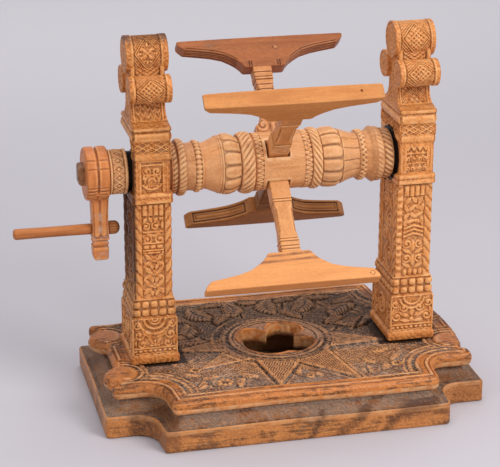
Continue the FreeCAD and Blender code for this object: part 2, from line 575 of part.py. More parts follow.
def handle_knob():
    """Domed knob pressed on the pin's inner end."""
    x0 = -SHANK_IN + SIDE_PLAY
    body = rod_x(KNOB_R, x0, x0 + KNOB_LEN - 4, 0, HANDLE_Z)
    dome = Part.makeCone(KNOB_R, KNOB_R * 0.5, 4, V(x0 + KNOB_LEN - 4, 0, HANDLE_Z), V(1, 0, 0))
    return body.fuse(dome).cut(rod_x(PIN_R, x0, x0 + KNOB_LEN - 3, 0, HANDLE_Z)).removeSplitter()


# ------------------------------------------------------------------ all nodes
save(base_block(), "base_block")
save(bottom_board(), "bottom_board")
save(nails(), "board_nails")
save(post(-1), "post_left")
save(post(1), "post_right")
save(wedges(), "tenon_wedges")
save(drum(), "reel_drum")
for name, turns, arm_x, bar_x, scrolled in ARMS:
    save(arm(turns, arm_x, scrolled), "arm_" + name)
    save(bar(turns, arm_x, bar_x), "bar_" + name)
save(crank(), "crank_arm")
save(handle_rod(), "handle_rod")
save(handle_knob(), "handle_knob")
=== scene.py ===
import math
from functools import partial
import bpy
import numpy as np
from mathutils import Matrix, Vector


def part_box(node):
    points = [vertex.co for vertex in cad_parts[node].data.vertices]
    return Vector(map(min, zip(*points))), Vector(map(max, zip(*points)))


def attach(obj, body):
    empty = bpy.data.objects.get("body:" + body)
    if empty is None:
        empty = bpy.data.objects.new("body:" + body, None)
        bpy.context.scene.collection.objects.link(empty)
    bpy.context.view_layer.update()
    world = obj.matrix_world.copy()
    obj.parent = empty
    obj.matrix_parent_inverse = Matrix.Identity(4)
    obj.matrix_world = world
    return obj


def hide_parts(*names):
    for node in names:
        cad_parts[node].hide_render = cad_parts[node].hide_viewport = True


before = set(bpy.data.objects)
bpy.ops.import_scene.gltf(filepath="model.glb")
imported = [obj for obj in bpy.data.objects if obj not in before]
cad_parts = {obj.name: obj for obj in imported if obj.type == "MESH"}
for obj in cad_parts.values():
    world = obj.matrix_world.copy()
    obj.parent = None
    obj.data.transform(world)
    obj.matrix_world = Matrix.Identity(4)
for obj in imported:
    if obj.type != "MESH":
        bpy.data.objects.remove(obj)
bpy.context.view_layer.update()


# ---------------- base plinth
# The lower tier of a thick hardwood plank, sawn with a notch at each corner. A hollow cove rises from its
# edge to the throat under the upper tier, and the middle is cut out from below for the well's compartment.

HALF_LEN, HALF_DEEP, BASE_TOP = (1000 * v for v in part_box("base_block")[1])
NOTCH_IN, NOTCH_R, NOTCH_CHEEK, EAR_HALF = 47.0, 21.0, 2.0, 84.0
LOWER_TOP, COVE_TOP, UPPER_BOTTOM = 21.5, 31.0, 33.5
TIER_STEP = 9.0
COVE_IN = TIER_STEP + 7.0
HOLLOW_X, HOLLOW_Y, BOARD_LAP, BOARD_T = 84.0, 66.0, 9.0, 6.0


def run(a, b, count):
    """Points evenly spaced from a up to, but without, b."""
    step = np.linspace(0, 1, count, endpoint=False)[:, None]
    return np.asarray(a) + (np.asarray(b) - np.asarray(a)) * step


def bow(center, radius, start, stop, count):
    """Arc about a centre; radius may be a pair for an ellipse; angles in degrees."""
    angle = np.radians(np.linspace(start, stop, count, endpoint=False))
    rx, ry = radius if isinstance(radius, tuple) else (radius, radius)
    return np.stack([center[0] + rx * np.cos(angle), center[1] + ry * np.sin(angle)], -1)


def tier_outline(inset, left, right):
    """Outline of a tier, counter-clockwise from the front left notch. Each notched corner is a short cheek, a
    hollow quarter circle centred outside the wood, and the ear's edge. left and right are the ends' own
    points."""
    front_x, front_y = HALF_LEN - NOTCH_IN - inset, HALF_DEEP - inset / 2
    ear_y, ear_x = EAR_HALF - inset, HALF_LEN - inset
    cx, cy = front_x + NOTCH_CHEEK + NOTCH_R, ear_y + NOTCH_R
    quarter = np.concatenate([run((front_x, front_y), (front_x + NOTCH_CHEEK, cy), 12),
                              bow((cx, cy), NOTCH_R, 180, 270, 26),
                              run((cx, ear_y), (ear_x, ear_y), 12), [(ear_x, ear_y)]])
    return np.concatenate([
        run((-front_x, -front_y), (front_x, -front_y), 150), quarter * (1, -1), right, quarter[::-1],
        run((front_x, front_y), (-front_x, front_y), 150), quarter * (-1, 1), left, quarter[::-1] * (-1, -1)])


def eased(points, reach):
    """Closed line with its corners rounded: each point is the mean of its neighbours within reach places."""
    return sum(np.roll(points, k, axis=0) for k in range(-reach, reach + 1)) / (2 * reach + 1)


def spaced(points, count):
    """Closed line resampled to count points, evenly along its length."""
    closed = np.concatenate([points, points[:1]])
    length = np.concatenate([[0], np.cumsum(np.linalg.norm(np.diff(closed, axis=0), axis=1))])
    at = np.linspace(0, length[-1], count, endpoint=False)
    return np.stack([np.interp(at, length, closed[:, k]) for k in range(2)], -1)


def softened(field, reach):
    """Each value replaced by the mean over reach rows and columns each way; the columns join up."""
    for axis, mode in ((0, "edge"), (1, "wrap")):
        pad = [(0, 0), (0, 0)]
        pad[axis] = (reach + 1, reach)
        total = np.cumsum(np.pad(field, pad, mode=mode), axis=axis)
        count = field.shape[axis]
        high = np.take(total, np.arange(2 * reach + 1, 2 * reach + 1 + count), axis=axis)
        field = (high - np.take(total, np.arange(count), axis=axis)) / (2 * reach + 1)
    return field


def put_in(name, data):
    """New object of the given data, in the scene."""
    made = bpy.data.objects.new(name, data)
    bpy.context.scene.collection.objects.link(made)
    return made


def sheet_piece(name, sheet, level, body, material, slot, nodes=(), ring=False, reach=4, crease=50.0,
                shade_and_dirt=None):
    """Closed mesh from a sheet of points in mm (rows, columns, xyz). The columns run round the piece and join
    up; the rows join up too if ring is true, and are capped if not. level is the carving's height: each
    vertex keeps how far it stands out from its neighbourhood (carve), how far it is sunk (depth), and the old
    soiling and painted shade that the given function of (x, y, z) returns for its place. If the volume, the
    sum of the faces' tetrahedra to the origin, comes out negative, the faces are turned round."""
    rows, columns = sheet.shape[:2]
    index = np.arange(rows * columns).reshape(rows, columns)
    upper = np.roll(index, -1, axis=0) if ring else index[1:]
    lower = index if ring else index[:-1]
    quads = np.stack([lower, np.roll(lower, -1, 1), np.roll(upper, -1, 1), upper], -1).reshape(-1, 4)
    points = sheet.reshape(-1, 3)
    carve = (level - softened(level, reach)).ravel()
    depth = np.maximum(-level, 0).ravel()
    fans = np.zeros((0, 3), int)
    if not ring:
        first, last, hub = index[0], index[-1], rows * columns
        points = np.concatenate([points, [points[first].mean(0)], [points[last].mean(0)]])
        carve, depth = np.append(carve, [0, 0]), np.append(depth, [depth[first].mean(), depth[last].mean()])
        fans = np.concatenate([np.stack([np.roll(first, -1), first, np.full(columns, hub)], -1),
                               np.stack([last, np.roll(last, -1), np.full(columns, hub + 1)], -1)])
    a, b, c, d = (points[quads[:, k]] for k in range(4))
    volume = np.einsum("ij,ij->i", a, np.cross(b, c) + np.cross(c, d)).sum()
    if volume < 0:
        quads, fans = quads[:, ::-1], fans[:, ::-1]
    starts = np.concatenate([np.arange(len(quads)) * 4, quads.size + np.arange(len(fans)) * 3])
    loops = np.concatenate([quads.ravel(), fans.ravel()])
    mesh = bpy.data.meshes.new(name)
    mesh.vertices.add(len(points))
    mesh.vertices.foreach_set("co", (points * 0.001).astype(np.float32).ravel())
    mesh.loops.add(len(loops))
    mesh.loops.foreach_set("vertex_index", loops.astype(np.int32))
    mesh.polygons.add(len(starts))
    mesh.polygons.foreach_set("loop_start", starts.astype(np.int32))
    mesh.polygons.foreach_set("use_smooth", np.ones(len(starts), bool))
    mesh.update(calc_edges=True)
    grime_and_shade = shade_and_dirt(*points.T) if shade_and_dirt else np.zeros(len(points))
    for key, value in (("carve", carve), ("depth", depth), ("grime_and_shade", grime_and_shade)):
        mesh.attributes.new(key, "FLOAT", "POINT").data.foreach_set("value", value.astype(np.float32))
    mesh.set_sharp_from_angle(angle=math.radians(crease))
    mesh.materials.append(material)
    piece = put_in(name, mesh)
    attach(piece, body)
    if nodes:
        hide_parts(*nodes)
    return piece


def refinish(piece, material, chosen):
    """One more material, for the faces whose centres, in mm, chosen(x, y, z) picks."""
    faces = piece.data.polygons
    centre, finish = np.zeros(3 * len(faces)), np.zeros(len(faces), np.int32)
    faces.foreach_get("center", centre)
    faces.foreach_get("material_index", finish)
    finish[chosen(*(1000 * centre.reshape(-1, 3).T))] = len(piece.data.materials)
    piece.data.materials.append(material)
    faces.foreach_set("material_index", finish)


def inside(value, low, high, blur=0.5):
    """1 between low and high, falling to 0 over blur each side."""
    return np.clip((value - low) / blur + 1, 0, 1) * np.clip((high - value) / blur + 1, 0, 1)


def wobble(sheet, size):
    """Hand work's unevenness: long waves through space, at most size mm along an axis, the same for points
    that touch."""
    x, y, z = sheet[..., 0], sheet[..., 1], sheet[..., 2]
    shift = np.stack([np.sin(0.043 * y + 0.031 * z + 1.0), np.sin(0.037 * x + 0.029 * z + 2.3),
                      np.sin(0.034 * x + 0.041 * y + 0.7)], -1)
    return sheet + shift * size


def make_plinth():
    """Columns run round the outline and rows round the section: up the edge, in along the cove to the throat,
    across to the hollow, down its wall to the board's rebate, and back out under the foot. A row of the edge
    is its share of the way in from the outer outline to the throat's, and its height."""
    end = [run((HALF_LEN - i, -EAR_HALF + i), (HALF_LEN - i, EAR_HALF - i), 84) for i in (0, COVE_IN)]
    outer, inner = [eased(tier_outline(i, side * (-1, -1), side), 2) for i, side in zip((0, COVE_IN), end)]
    edge = [(0.10, 0.0), (0.03, 0.5), (0.0, 1.6)]
    edge += [(0.0, z) for z in np.linspace(3, LOWER_TOP - 2.2, 12)]
    edge += [(0.02, LOWER_TOP - 1.0), (0.06, LOWER_TOP - 0.3), (0.12, LOWER_TOP)]
    brim = len(edge) - 1
    rise = COVE_TOP - LOWER_TOP
    edge += [(0.14 + 0.86 * math.sin(t), LOWER_TOP + rise * (1 - math.cos(t)))
             for t in np.linspace(0, math.pi / 2, 12)]
    edge.append((1.0, UPPER_BOTTOM + 0.1))
    rows = [np.column_stack([outer + (inner - outer) * share, np.full(len(outer), z)]) for share, z in edge]
    lap_x, lap_y = HOLLOW_X + BOARD_LAP, HOLLOW_Y + BOARD_LAP
    walls = [(HOLLOW_X, HOLLOW_Y, z) for z in (UPPER_BOTTOM + 0.1, 25, 15, BOARD_T)]
    for half_x, half_y, z in walls + [(lap_x, lap_y, BOARD_T), (lap_x, lap_y, 0.0)]:
        reach = np.maximum(np.abs(outer[:, 0]) / half_x, np.abs(outer[:, 1]) / half_y)
        rows.append(np.column_stack([outer / reach[:, None], np.full(len(outer), z)]))
    sheet = np.array(rows)
    level = np.zeros(sheet.shape[:2])
    # the cove's sunk level darkens it through the cuts' staining: partly its dust, partly painted shade under
    # the upper tier
    level[brim:len(edge)] = -2.6
    level[len(edge):] = -1.0
    sheet[3:len(edge) - 1] = wobble(sheet[3:len(edge) - 1], 0.35)
    return sheet, level


# Old oiled wood: dark staining and grey dust sit in the cuts, and the high spots are rubbed pale. Painted
# shade darkens whatever a piece marks for it, and a painted sheen lightens the tool marks. One shader
# group holds that finish, and each piece gives it its own tones.


def maths(tree, operation, a, b, clamp=False):
    """Math node on two values or sockets."""
    made = tree.nodes.new("ShaderNodeMath")
    made.operation = operation
    made.use_clamp = clamp
    for entry, value in zip(made.inputs, (a, b)):
        if isinstance(value, bpy.types.NodeSocket):
            tree.links.new(value, entry)
        else:
            entry.default_value = value
    return made.outputs[0]


def weighted(tree, *terms):
    """Sum of values or sockets, each times its weight."""
    parts = [maths(tree, "MULTIPLY", value, weight) for value, weight in terms]
    total = parts[0]
    for part in parts[1:]:
        total = maths(tree, "ADD", total, part)
    return total


def ramp(tree, value, low, high):
    """Smooth step from 0 at low to 1 at high."""
    made = tree.nodes.new("ShaderNodeMapRange")
    made.interpolation_type = "SMOOTHSTEP"
    tree.links.new(value, made.inputs["Value"])
    made.inputs["From Min"].default_value = low
    made.inputs["From Max"].default_value = high
    return made.outputs["Result"]


def blended(tree, amount, under, over):
    """Colour mix: under where amount is 0, over where it is 1."""
    made = tree.nodes.new("ShaderNodeMix")
    made.data_type = "RGBA"
    for entry, value in ((0, amount), (6, under), (7, over)):
        if isinstance(value, bpy.types.NodeSocket):
            tree.links.new(value, made.inputs[entry])
        else:
            made.inputs[entry].default_value = value
    return made.outputs[2]


def noise(tree, vector, scale, detail, rough=0.55):
    """Cloudy noise on a vector."""
    made = tree.nodes.new("ShaderNodeTexNoise")
    tree.links.new(vector, made.inputs["Vector"])
    made.inputs["Scale"].default_value = scale
    made.inputs["Detail"].default_value = detail
    made.inputs["Roughness"].default_value = rough
    return made.outputs["Fac"]


def make_wood_group():
    """Old oiled wood. Fibres along the grain and broad clouds move the tone between Light and Dark. Blotches
    of spilled oil, the old soiling and painted shade that each piece gives its vertices, and the cuts
    (negative carve, or deep places) go to the dark staining colour, and Dust lies in the cuts, broken up by a
    mottle. Chisel draws fine swirling tool marks over it all, high spots are rubbed to the worn colour, and a
    painted sheen on the marks' crests goes to that colour too."""
    group = bpy.data.node_groups.new("old_wood", "ShaderNodeTree")
    sockets = [("Place", "Vector"), ("Grain", "Vector"), ("Carve", "Float"), ("Depth", "Float"),
               ("Grime_And_Shade", "Float")]
    sockets += [(name, "Color") for name in ("Light", "Dark", "Stain_And_Shade", "Worn_And_Sheen", "Dust")]
    sockets += [(name, "Float") for name in ("Dusty", "Blotch", "Rub", "Deep", "Chisel")]
    for name, kind in sockets:
        group.interface.new_socket(name=name, in_out="INPUT", socket_type="NodeSocket" + kind)
    for name, kind in (("Color", "Color"), ("Roughness", "Float"), ("Height", "Float")):
        group.interface.new_socket(name=name, in_out="OUTPUT", socket_type="NodeSocket" + kind)
    start = group.nodes.new("NodeGroupInput").outputs
    end = group.nodes.new("NodeGroupOutput").inputs

    def product(a, b, clamp=False):
        """Product of two values in the group."""
        return maths(group, "MULTIPLY", a, b, clamp)

    fibre = noise(group, start["Grain"], 1.0, 6.0, 0.65)
    streak = noise(group, start["Grain"], 0.28, 3.0)
    cloud = noise(group, start["Place"], 26.0, 4.0)
    mottle = noise(group, start["Place"], 150.0, 5.0, 0.62)
    tone = weighted(group, (fibre, 0.4), (streak, 0.3), (cloud, 0.3))
    patch = weighted(group, (cloud, 0.45), (mottle, 0.25), (fibre, 0.55), (start["Blotch"], 0.08))
    patch = product(ramp(group, patch, 0.66, 0.78), start["Blotch"])
    # old soiling and painted shade: the vertices' share, broken up by the mottle and clouds, darkens towards
    # the staining colour
    clinging_grime_and_shade = product(ramp(group, maths(group, "ADD", mottle, cloud), 0.75, 1.2), 0.5)
    clinging_grime_and_shade = product(maths(group, "ADD", clinging_grime_and_shade, 0.6), start["Grime_And_Shade"], clamp=True)

    cut = ramp(group, product(start["Carve"], -1.0), 0.02, 0.5)
    low = product(ramp(group, start["Depth"], 0.8, 2.6), 0.55)
    cut = product(maths(group, "MAXIMUM", cut, low), start["Deep"], clamp=True)
    where = weighted(group, (start["Depth"], 0.2), (cut, 0.15), (mottle, 1.9), (cloud, 1.4))
    dusty = product(start["Dusty"], maths(group, "SUBTRACT", 1.0, start["Grime_And_Shade"]))
    dusty = product(ramp(group, where, 1.85, 2.5), dusty, clamp=True)

    marks = group.nodes.new("ShaderNodeTexWave")
    marks.bands_direction = "DIAGONAL"
    group.links.new(start["Place"], marks.inputs["Vector"])
    for key, value in (("Scale", 95.0), ("Distortion", 16.0), ("Detail", 2.0), ("Detail Scale", 1.3)):
        marks.inputs[key].default_value = value
    marks = marks.outputs["Fac"]
    chisel = product(start["Chisel"], maths(group, "ADD", start["Grime_And_Shade"], 0.4))
    chisel = product(ramp(group, maths(group, "SUBTRACT", 1.0, marks), 0.45, 0.9), chisel)
    # painted sheen: a highlight painted on the crests of the tool marks, towards the worn colour
    painted_sheen = product(ramp(group, marks, 0.7, 1.0), product(start["Chisel"], 0.5))
    high = product(ramp(group, mottle, 0.3, 0.6), start["Rub"])
    high = maths(group, "MAXIMUM", product(ramp(group, start["Carve"], 0.03, 0.35), high), painted_sheen)
    high = product(high, maths(group, "SUBTRACT", 1.0, product(start["Grime_And_Shade"], 0.7)), clamp=True)

    color = blended(group, ramp(group, tone, 0.36, 0.64), start["Dark"], start["Light"])
    for amount, over in ((patch, "Stain_And_Shade"), (clinging_grime_and_shade, "Stain_And_Shade"), (cut, "Stain_And_Shade"), (dusty, "Dust"),
                         (product(chisel, 0.8), "Stain_And_Shade"), (high, "Worn_And_Sheen")):
        color = blended(group, amount, color, start[over])
    rough = weighted(group, (cut, 0.2), (dusty, 0.35), (fibre, 0.25))
    group.links.new(color, end["Color"])
    group.links.new(maths(group, "ADD", rough, 0.275, clamp=True), end["Roughness"])
    group.links.new(weighted(group, (fibre, 0.6), (mottle, 0.4), (chisel, -0.9)), end["Height"])
    return group


wood_group = make_wood_group()
# how finely the fibres' noise is squeezed along each axis, by the grain's axis
GRAIN = {"x": (28, 420, 420), "z": (420, 420, 28)}


def plain_material(name):
    """New material, its tree of nodes, its shader and the place on the object."""
    made = bpy.data.materials.new(name)
    made.use_nodes = True
    nodes = made.node_tree.nodes
    place = nodes.new("ShaderNodeTexCoord").outputs["Object"]
    return made, made.node_tree, nodes["Principled BSDF"], place


def wood(name, light, dark, stain_and_shade, worn, dust=(0.42, 0.31, 0.23), dusty=0.2, blotch=0.2, rub=0.6, deep=1.0,
         chisel=0.0, grain="z", turn=0.0, gloss=0.24, fuzz=0.4):
    """Finished wood: the old_wood group with its tones, the grain along one axis after a turn about X, and a
    little wax gloss on the fibres' bump."""
    made, tree, shader, place = plain_material(name)
    mapping = tree.nodes.new("ShaderNodeMapping")
    mapping.inputs["Rotation"].default_value = (turn, 0, 0)
    mapping.inputs["Scale"].default_value = GRAIN[grain]
    tree.links.new(place, mapping.inputs["Vector"])
    finish = tree.nodes.new("ShaderNodeGroup")
    finish.node_tree = wood_group
    tree.links.new(place, finish.inputs["Place"])
    tree.links.new(mapping.outputs["Vector"], finish.inputs["Grain"])
    for key in ("carve", "depth", "grime_and_shade"):
        attribute = tree.nodes.new("ShaderNodeAttribute")
        attribute.attribute_name = key
        tree.links.new(attribute.outputs["Fac"], finish.inputs[key.title()])
    # the worn colour serves the rubbed high spots and the painted sheen on the tool marks; the staining
    # colour serves cuts, spills, old soiling and painted shade
    for key, value in (("Light", light), ("Dark", dark), ("Stain_And_Shade", stain_and_shade), ("Worn_And_Sheen", worn), ("Dust", dust)):
        finish.inputs[key].default_value = (*value, 1)
    for key, value in (("Dusty", dusty), ("Blotch", blotch), ("Rub", rub), ("Deep", deep),
                       ("Chisel", chisel)):
        finish.inputs[key].default_value = value
    relief = tree.nodes.new("ShaderNodeBump")
    relief.inputs["Strength"].default_value = fuzz
    relief.inputs["Distance"].default_value = 0.0004
    tree.links.new(finish.outputs["Height"], relief.inputs["Height"])
    tree.links.new(finish.outputs["Color"], shader.inputs["Base Color"])
    tree.links.new(finish.outputs["Roughness"], shader.inputs["Roughness"])
    tree.links.new(relief.outputs["Normal"], shader.inputs["Normal"])
    shader.inputs["Specular IOR Level"].default_value = gloss
    return made


def plinth_dirt_and_shade(x, y, z):
    """Hands and cloths reach the front edge, which is marked with old dark strokes to the right; the ends,
    the back and the front left notch are darker, and the cove under the upper tier is darkened, partly for
    its dust and partly as painted shade under the overhang."""
    ends = np.clip((np.abs(x) - 120) / 40, 0, 1) * np.where(x < 0, 0.08, 0.35)
    lower_tier = z < LOWER_TOP + 4.5
    stroke = np.cos(x / 6.5 - z / 7 + 2.2 * np.sin(x / 31) + 0.9 * np.sin(x / 11.3))
    stroke = 0.7 * np.clip(1.7 * stroke - 0.6, 0, 1) * np.clip((x + 60) / 90, 0.1, 1)
    stroke = stroke * (y < 13 - HALF_DEEP) * lower_tier
    notch = 0.55 * inside(-x, 124, 158, 6.0) * (y < -78) * lower_tier
    back = 0.35 * np.clip((y + 60) / 80, 0, 1)
    # cove: partly dust, partly painted shade under the upper tier's overhang
    cove = 0.2 * inside(z, 22, 34, 1.0)
    return np.maximum.reduce([ends, stroke, notch, back]) + cove + 0.05


base_wood = wood("base_wood", light=(0.70, 0.27, 0.072), dark=(0.43, 0.155, 0.046),
                 stain_and_shade=(0.085, 0.034, 0.017), worn=(0.76, 0.38, 0.17), dust=(0.38, 0.28, 0.21), dusty=0.55,
                 blotch=0.8, rub=0.5, chisel=0.35, grain="x")
plinth_sheet, plinth_level = make_plinth()
sheet_piece("base_plinth", plinth_sheet, plinth_level, "stand", base_wood, "base_wood", ["base_block"],
            ring=True, shade_and_dirt=plinth_dirt_and_shade)


# ---------------- base top
# The upper tier: a rounded nose, grooves and a bead all round, chip-carved arcs at the notched corners, and a
# sunk field with long star points in front, shell-shaped leaves behind and a ridged ring round the well.

RING_X, RING_Y, RING_R = -1.0, 2.0, 46.5
WELL_LOBES = ((-10.0, -8.0, 25.0), (16.0, -15.0, 18.5), (11.0, 21.0, 17.5), (-24.0, 12.0, 15.5))
RIM_IN, NOSE_R, GROUND = 17.0, 5.6, -2.1
LIP, WELL_LIP = 7.0, 3.0
NOTCH_X, NOTCH_Y = HALF_LEN - NOTCH_IN + NOTCH_R - TIER_STEP + NOTCH_CHEEK, EAR_HALF + NOTCH_R - TIER_STEP
LID_COLUMNS = 960
# star points: tip x and y; half width of the foot; how far the foot is from the ring's centre; how high
STAR = ((-22, -102, 19, 54, 1.0), (55, -102, 19, 54, 1.0), (-88, -53, 15, 54, 0.3), (-102, -5, 13, 56, 0.2),
        (102, -22, 15, 56, 0.5))
# rosettes: centre and size; and the rounded ears' centres, by end, and their domes' radius
ROSETTES = ((-70, -84, 8.4), (96, -78, 6.0), (-92, -52, 6.0), (10, -86, 4.5))
EARS, EAR_R = ((-160.0, 44.5), (161.0, 37.0)), 16.5
# leaves: centre, half length, half width, lean in degrees, and the hand of the curl at the tip
LEAVES = ((-80, 40, 21, 10, 205, 1), (-62, 76, 20, 11, 150, -1), (-27, 84, 19, 11, 175, 1),
          (10, 84, 19, 11, 185, -1), (46, 80, 20, 11, 208, 1), (80, 62, 20, 11, 232, -1),
          (86, 28, 20, 10, 258, 1), (-42, 62, 15, 7, 40, 1), (30, 62, 15, 7, -38, -1),
          (-88, 12, 17, 7, 262, -1), (66, 38, 13, 6, 60, 1), (-93, 72, 15, 7, 120, 1),
          (92, 84, 15, 7, 240, 1), (-92, 94, 12, 6, 100, -1), (-46, 98, 12, 5, 85, 1),
          (-8, 99, 12, 5, 95, -1), (30, 98, 12, 5, 84, 1), (66, 96, 12, 5, 100, -1), (-82, -72, 9, 5, 70, 1),
          (-56, -88, 10, 5, 20, 1), (-46, -75, 10, 5, 120, -1), (-93, -87, 11, 5.5, 35, -1),
          (-98, -62, 10, 4.5, 300, 1), (16, -84, 8, 3.5, 115, 1), (2, -76, 9, 3.5, 10, 1),
          (84, -82, 9, 4.5, 20, -1), (72, -66, 9, 4.5, -25, 1), (98, -64, 10, 4.5, 40, 1),
          (104, -86, 8, 4, 0, 1), (88, -48, 10, 4, 80, -1), (-148, 20, 13, 5, 0, 1),
          (-148, -22, 13, 5, 180, 1), (148, 26, 13, 5, 0, 1), (150, -24, 13, 5, 180, 1),
          (-146, 60, 9, 4, 30, 1), (146, 62, 9, 4, -30, 1))
# deep knife slots between the leaves: ends, half width
SLOTS = ((-78, 64, -69, 40, 2.6), (-89, 34, -78, 20, 2.2), (-70, 24, -64, 14, 1.8), (-92, -6, -84, -14, 1.4),
         (-52, 84, -42, 66, 2.0), (-58, 92, -66, 94, 1.6), (-20, 74, -20, 62, 1.2), (82, 14, 98, 40, 2.2),
         (98, 52, 88, 66, 1.6), (60, 90, 66, 74, 1.6), (28, 92, 24, 76, 1.3), (66, 22, 60, 12, 1.3),
         (-83, -80, -82, -90, 1.3), (-70, -82, -70, -86, 1.6), (-56, -56, -50, -66, 1.4),
         (66, -72, 65, -90, 1.4), (93, -72, 92, -84, 1.3), (-90, -30, -80, -22, 1.6), (88, -34, 96, -26, 1.6))


def lid_outline():
    """Upper tier's outline. The left end has ears with a shallow bay between; the right has one long lobe."""
    ear_x, ear_y = HALF_LEN - TIER_STEP, EAR_HALF - TIER_STEP
    bay_x, lobe = HALF_LEN - 17.5, (HALF_LEN - 7, 20)
    shoulder = (-ear_x - 1, ear_y - 7)
    cheek = np.concatenate([run((-ear_x, ear_y), shoulder, 8), run(shoulder, (-165, 64), 8),
                            bow(EARS[0], (17.0, 17.5), 108, 252, 40), run((-bay_x, 27), (-bay_x, 0), 25)])
    left = np.concatenate([cheek, cheek[::-1] * (1, -1)])
    turns = [(ear_x, ear_y), (ear_x + 2, 62), (164.5, 53), (171, 45)]
    cheek = np.concatenate([run(a, b, 9) for a, b in zip(turns, turns[1:])] + [run(turns[-1], lobe, 20)])
    right = np.concatenate([cheek * (1, -1), run((lobe[0], -lobe[1]), lobe, 40), cheek[::-1]])
    return spaced(eased(tier_outline(TIER_STEP, left, right), 3), LID_COLUMNS)


def edge_distance(x, y, line):
    """Distance to the outline. Each grid column starts on its own outline point, so only the nearest points
    each way are searched."""
    best = np.full(x.shape, 1e9)
    nearest = 40
    for k in range(-nearest, nearest + 1):
        a, b = np.roll(line, -k, axis=0), np.roll(line, -k - 1, axis=0)
        ux, uy = b[:, 0] - a[:, 0], b[:, 1] - a[:, 1]
        t = np.clip(((x - a[:, 0]) * ux + (y - a[:, 1]) * uy) / (ux ** 2 + uy ** 2), 0, 1)
        best = np.minimum(best, np.hypot(x - a[:, 0] - t * ux, y - a[:, 1] - t * uy))
    return best


def vee(distance, half, deep):
    """V-shaped cut: deep at distance 0, nothing beyond half."""
    return -deep * np.clip(1 - np.abs(distance) / half, 0, 1)


def bead(distance, half, high):
    """Half-round ridge: high at distance 0, nothing beyond half."""
    return high * np.sqrt(np.clip(1 - (distance / half) ** 2, 0, 1))


def leaning(a, b, at, size, lean):
    """Where a place lies along and across a leaf that leans lean degrees, in its half length and width."""
    c, s = math.cos(math.radians(lean)), math.sin(math.radians(lean))
    x, y = a - at[0], b - at[1]
    return (x * s + y * c) / size[0], (x * c - y * s) / size[1]


def leaf(a, b, at, size, lean, vein=0.45):
    """Raised pointed leaf: a lens of half length and half width size, its middle at at, leaning lean degrees,
    domed, with a cut vein. 1 at its highest and 0 outside."""
    along, across = leaning(a, b, at, size, lean)
    within = np.clip(1 - np.abs(across) / np.clip(1 - along ** 2, 1e-3, 1), 0, 1)
    shape = np.sqrt(within) - vein * np.clip(1 - np.abs(across) * 4, 0, 1) * (within > 0)
    return np.where(np.abs(along) < 1, np.clip(shape, 0, 1), 0)


def curl(a, b, at, size, hand=1, turns=1.5, start=0.0):
    """Scroll: a spiral ridge that winds in to a round eye. The ridge is where turns times the radius less the
    angle is a whole number; hand mirrors it."""
    x, y = hand * (a - at[0]), b - at[1]
    r = np.hypot(x, y) / size
    ridge = 0.5 + 0.5 * np.cos(2 * np.pi * (turns * r - start) - np.arctan2(y, x))
    return np.maximum(ridge ** 0.7 * np.clip((1 - r) * 5, 0, 1), np.clip(1.7 - 5.5 * r, 0, 1))


def acanthus(x, y, at, size, lean, hand):
    """Carved leaf: a curved lens whose midrib bends to one side, domed, with slanting veins every 3 mm or so
    and lobes along its edge. 1 at its highest and 0 outside."""
    along, across = leaning(x, y, at, size, lean)
    across = across - hand * 0.55 * (along ** 2 - 0.3)
    swing = 2 * np.pi * (along * size[0] - 0.8 * np.abs(across) * size[1]) / max(3.4, 0.24 * size[0])
    width = np.clip(1 - along ** 2, 1e-3, 1) ** 0.7 * (0.9 + 0.16 * np.cos(swing))
    within = np.clip(1 - np.abs(across) / width, 0, 1)
    vein = 0.32 * (0.5 - 0.5 * np.cos(swing)) + 0.45 * np.clip(1 - np.abs(across) * 5, 0, 1)
    return np.where((np.abs(along) < 1) & (within > 0), np.clip(within ** 0.4 - vein, 0.05, 1), 0)


def star_point(x, y, tip, foot, base):
    """Long triangle from the ring out to its tip: how far inside its sides a place is, in mm, and the
    slanting strokes that hatch it."""
    dx, dy = tip[0] - RING_X, tip[1] - RING_Y
    long = math.hypot(dx, dy)
    dx, dy = dx / long, dy / long
    along = (x - RING_X) * dx + (y - RING_Y) * dy
    across = (y - RING_Y) * dx - (x - RING_X) * dy
    half_width = foot * (long - along) / (long - base)
    within = (half_width - np.abs(across)) * math.cos(math.atan2(foot, long - base))
    hatch = wave((across + 0.3 * along + 0.4 * np.sin(along / 2.1)) / 2.5)
    return np.minimum(within, along - RING_R), hatch


def wave(value):
    """Cosine ripple: 1 at whole numbers and -1 halfway between."""
    return np.cos(2 * np.pi * value)


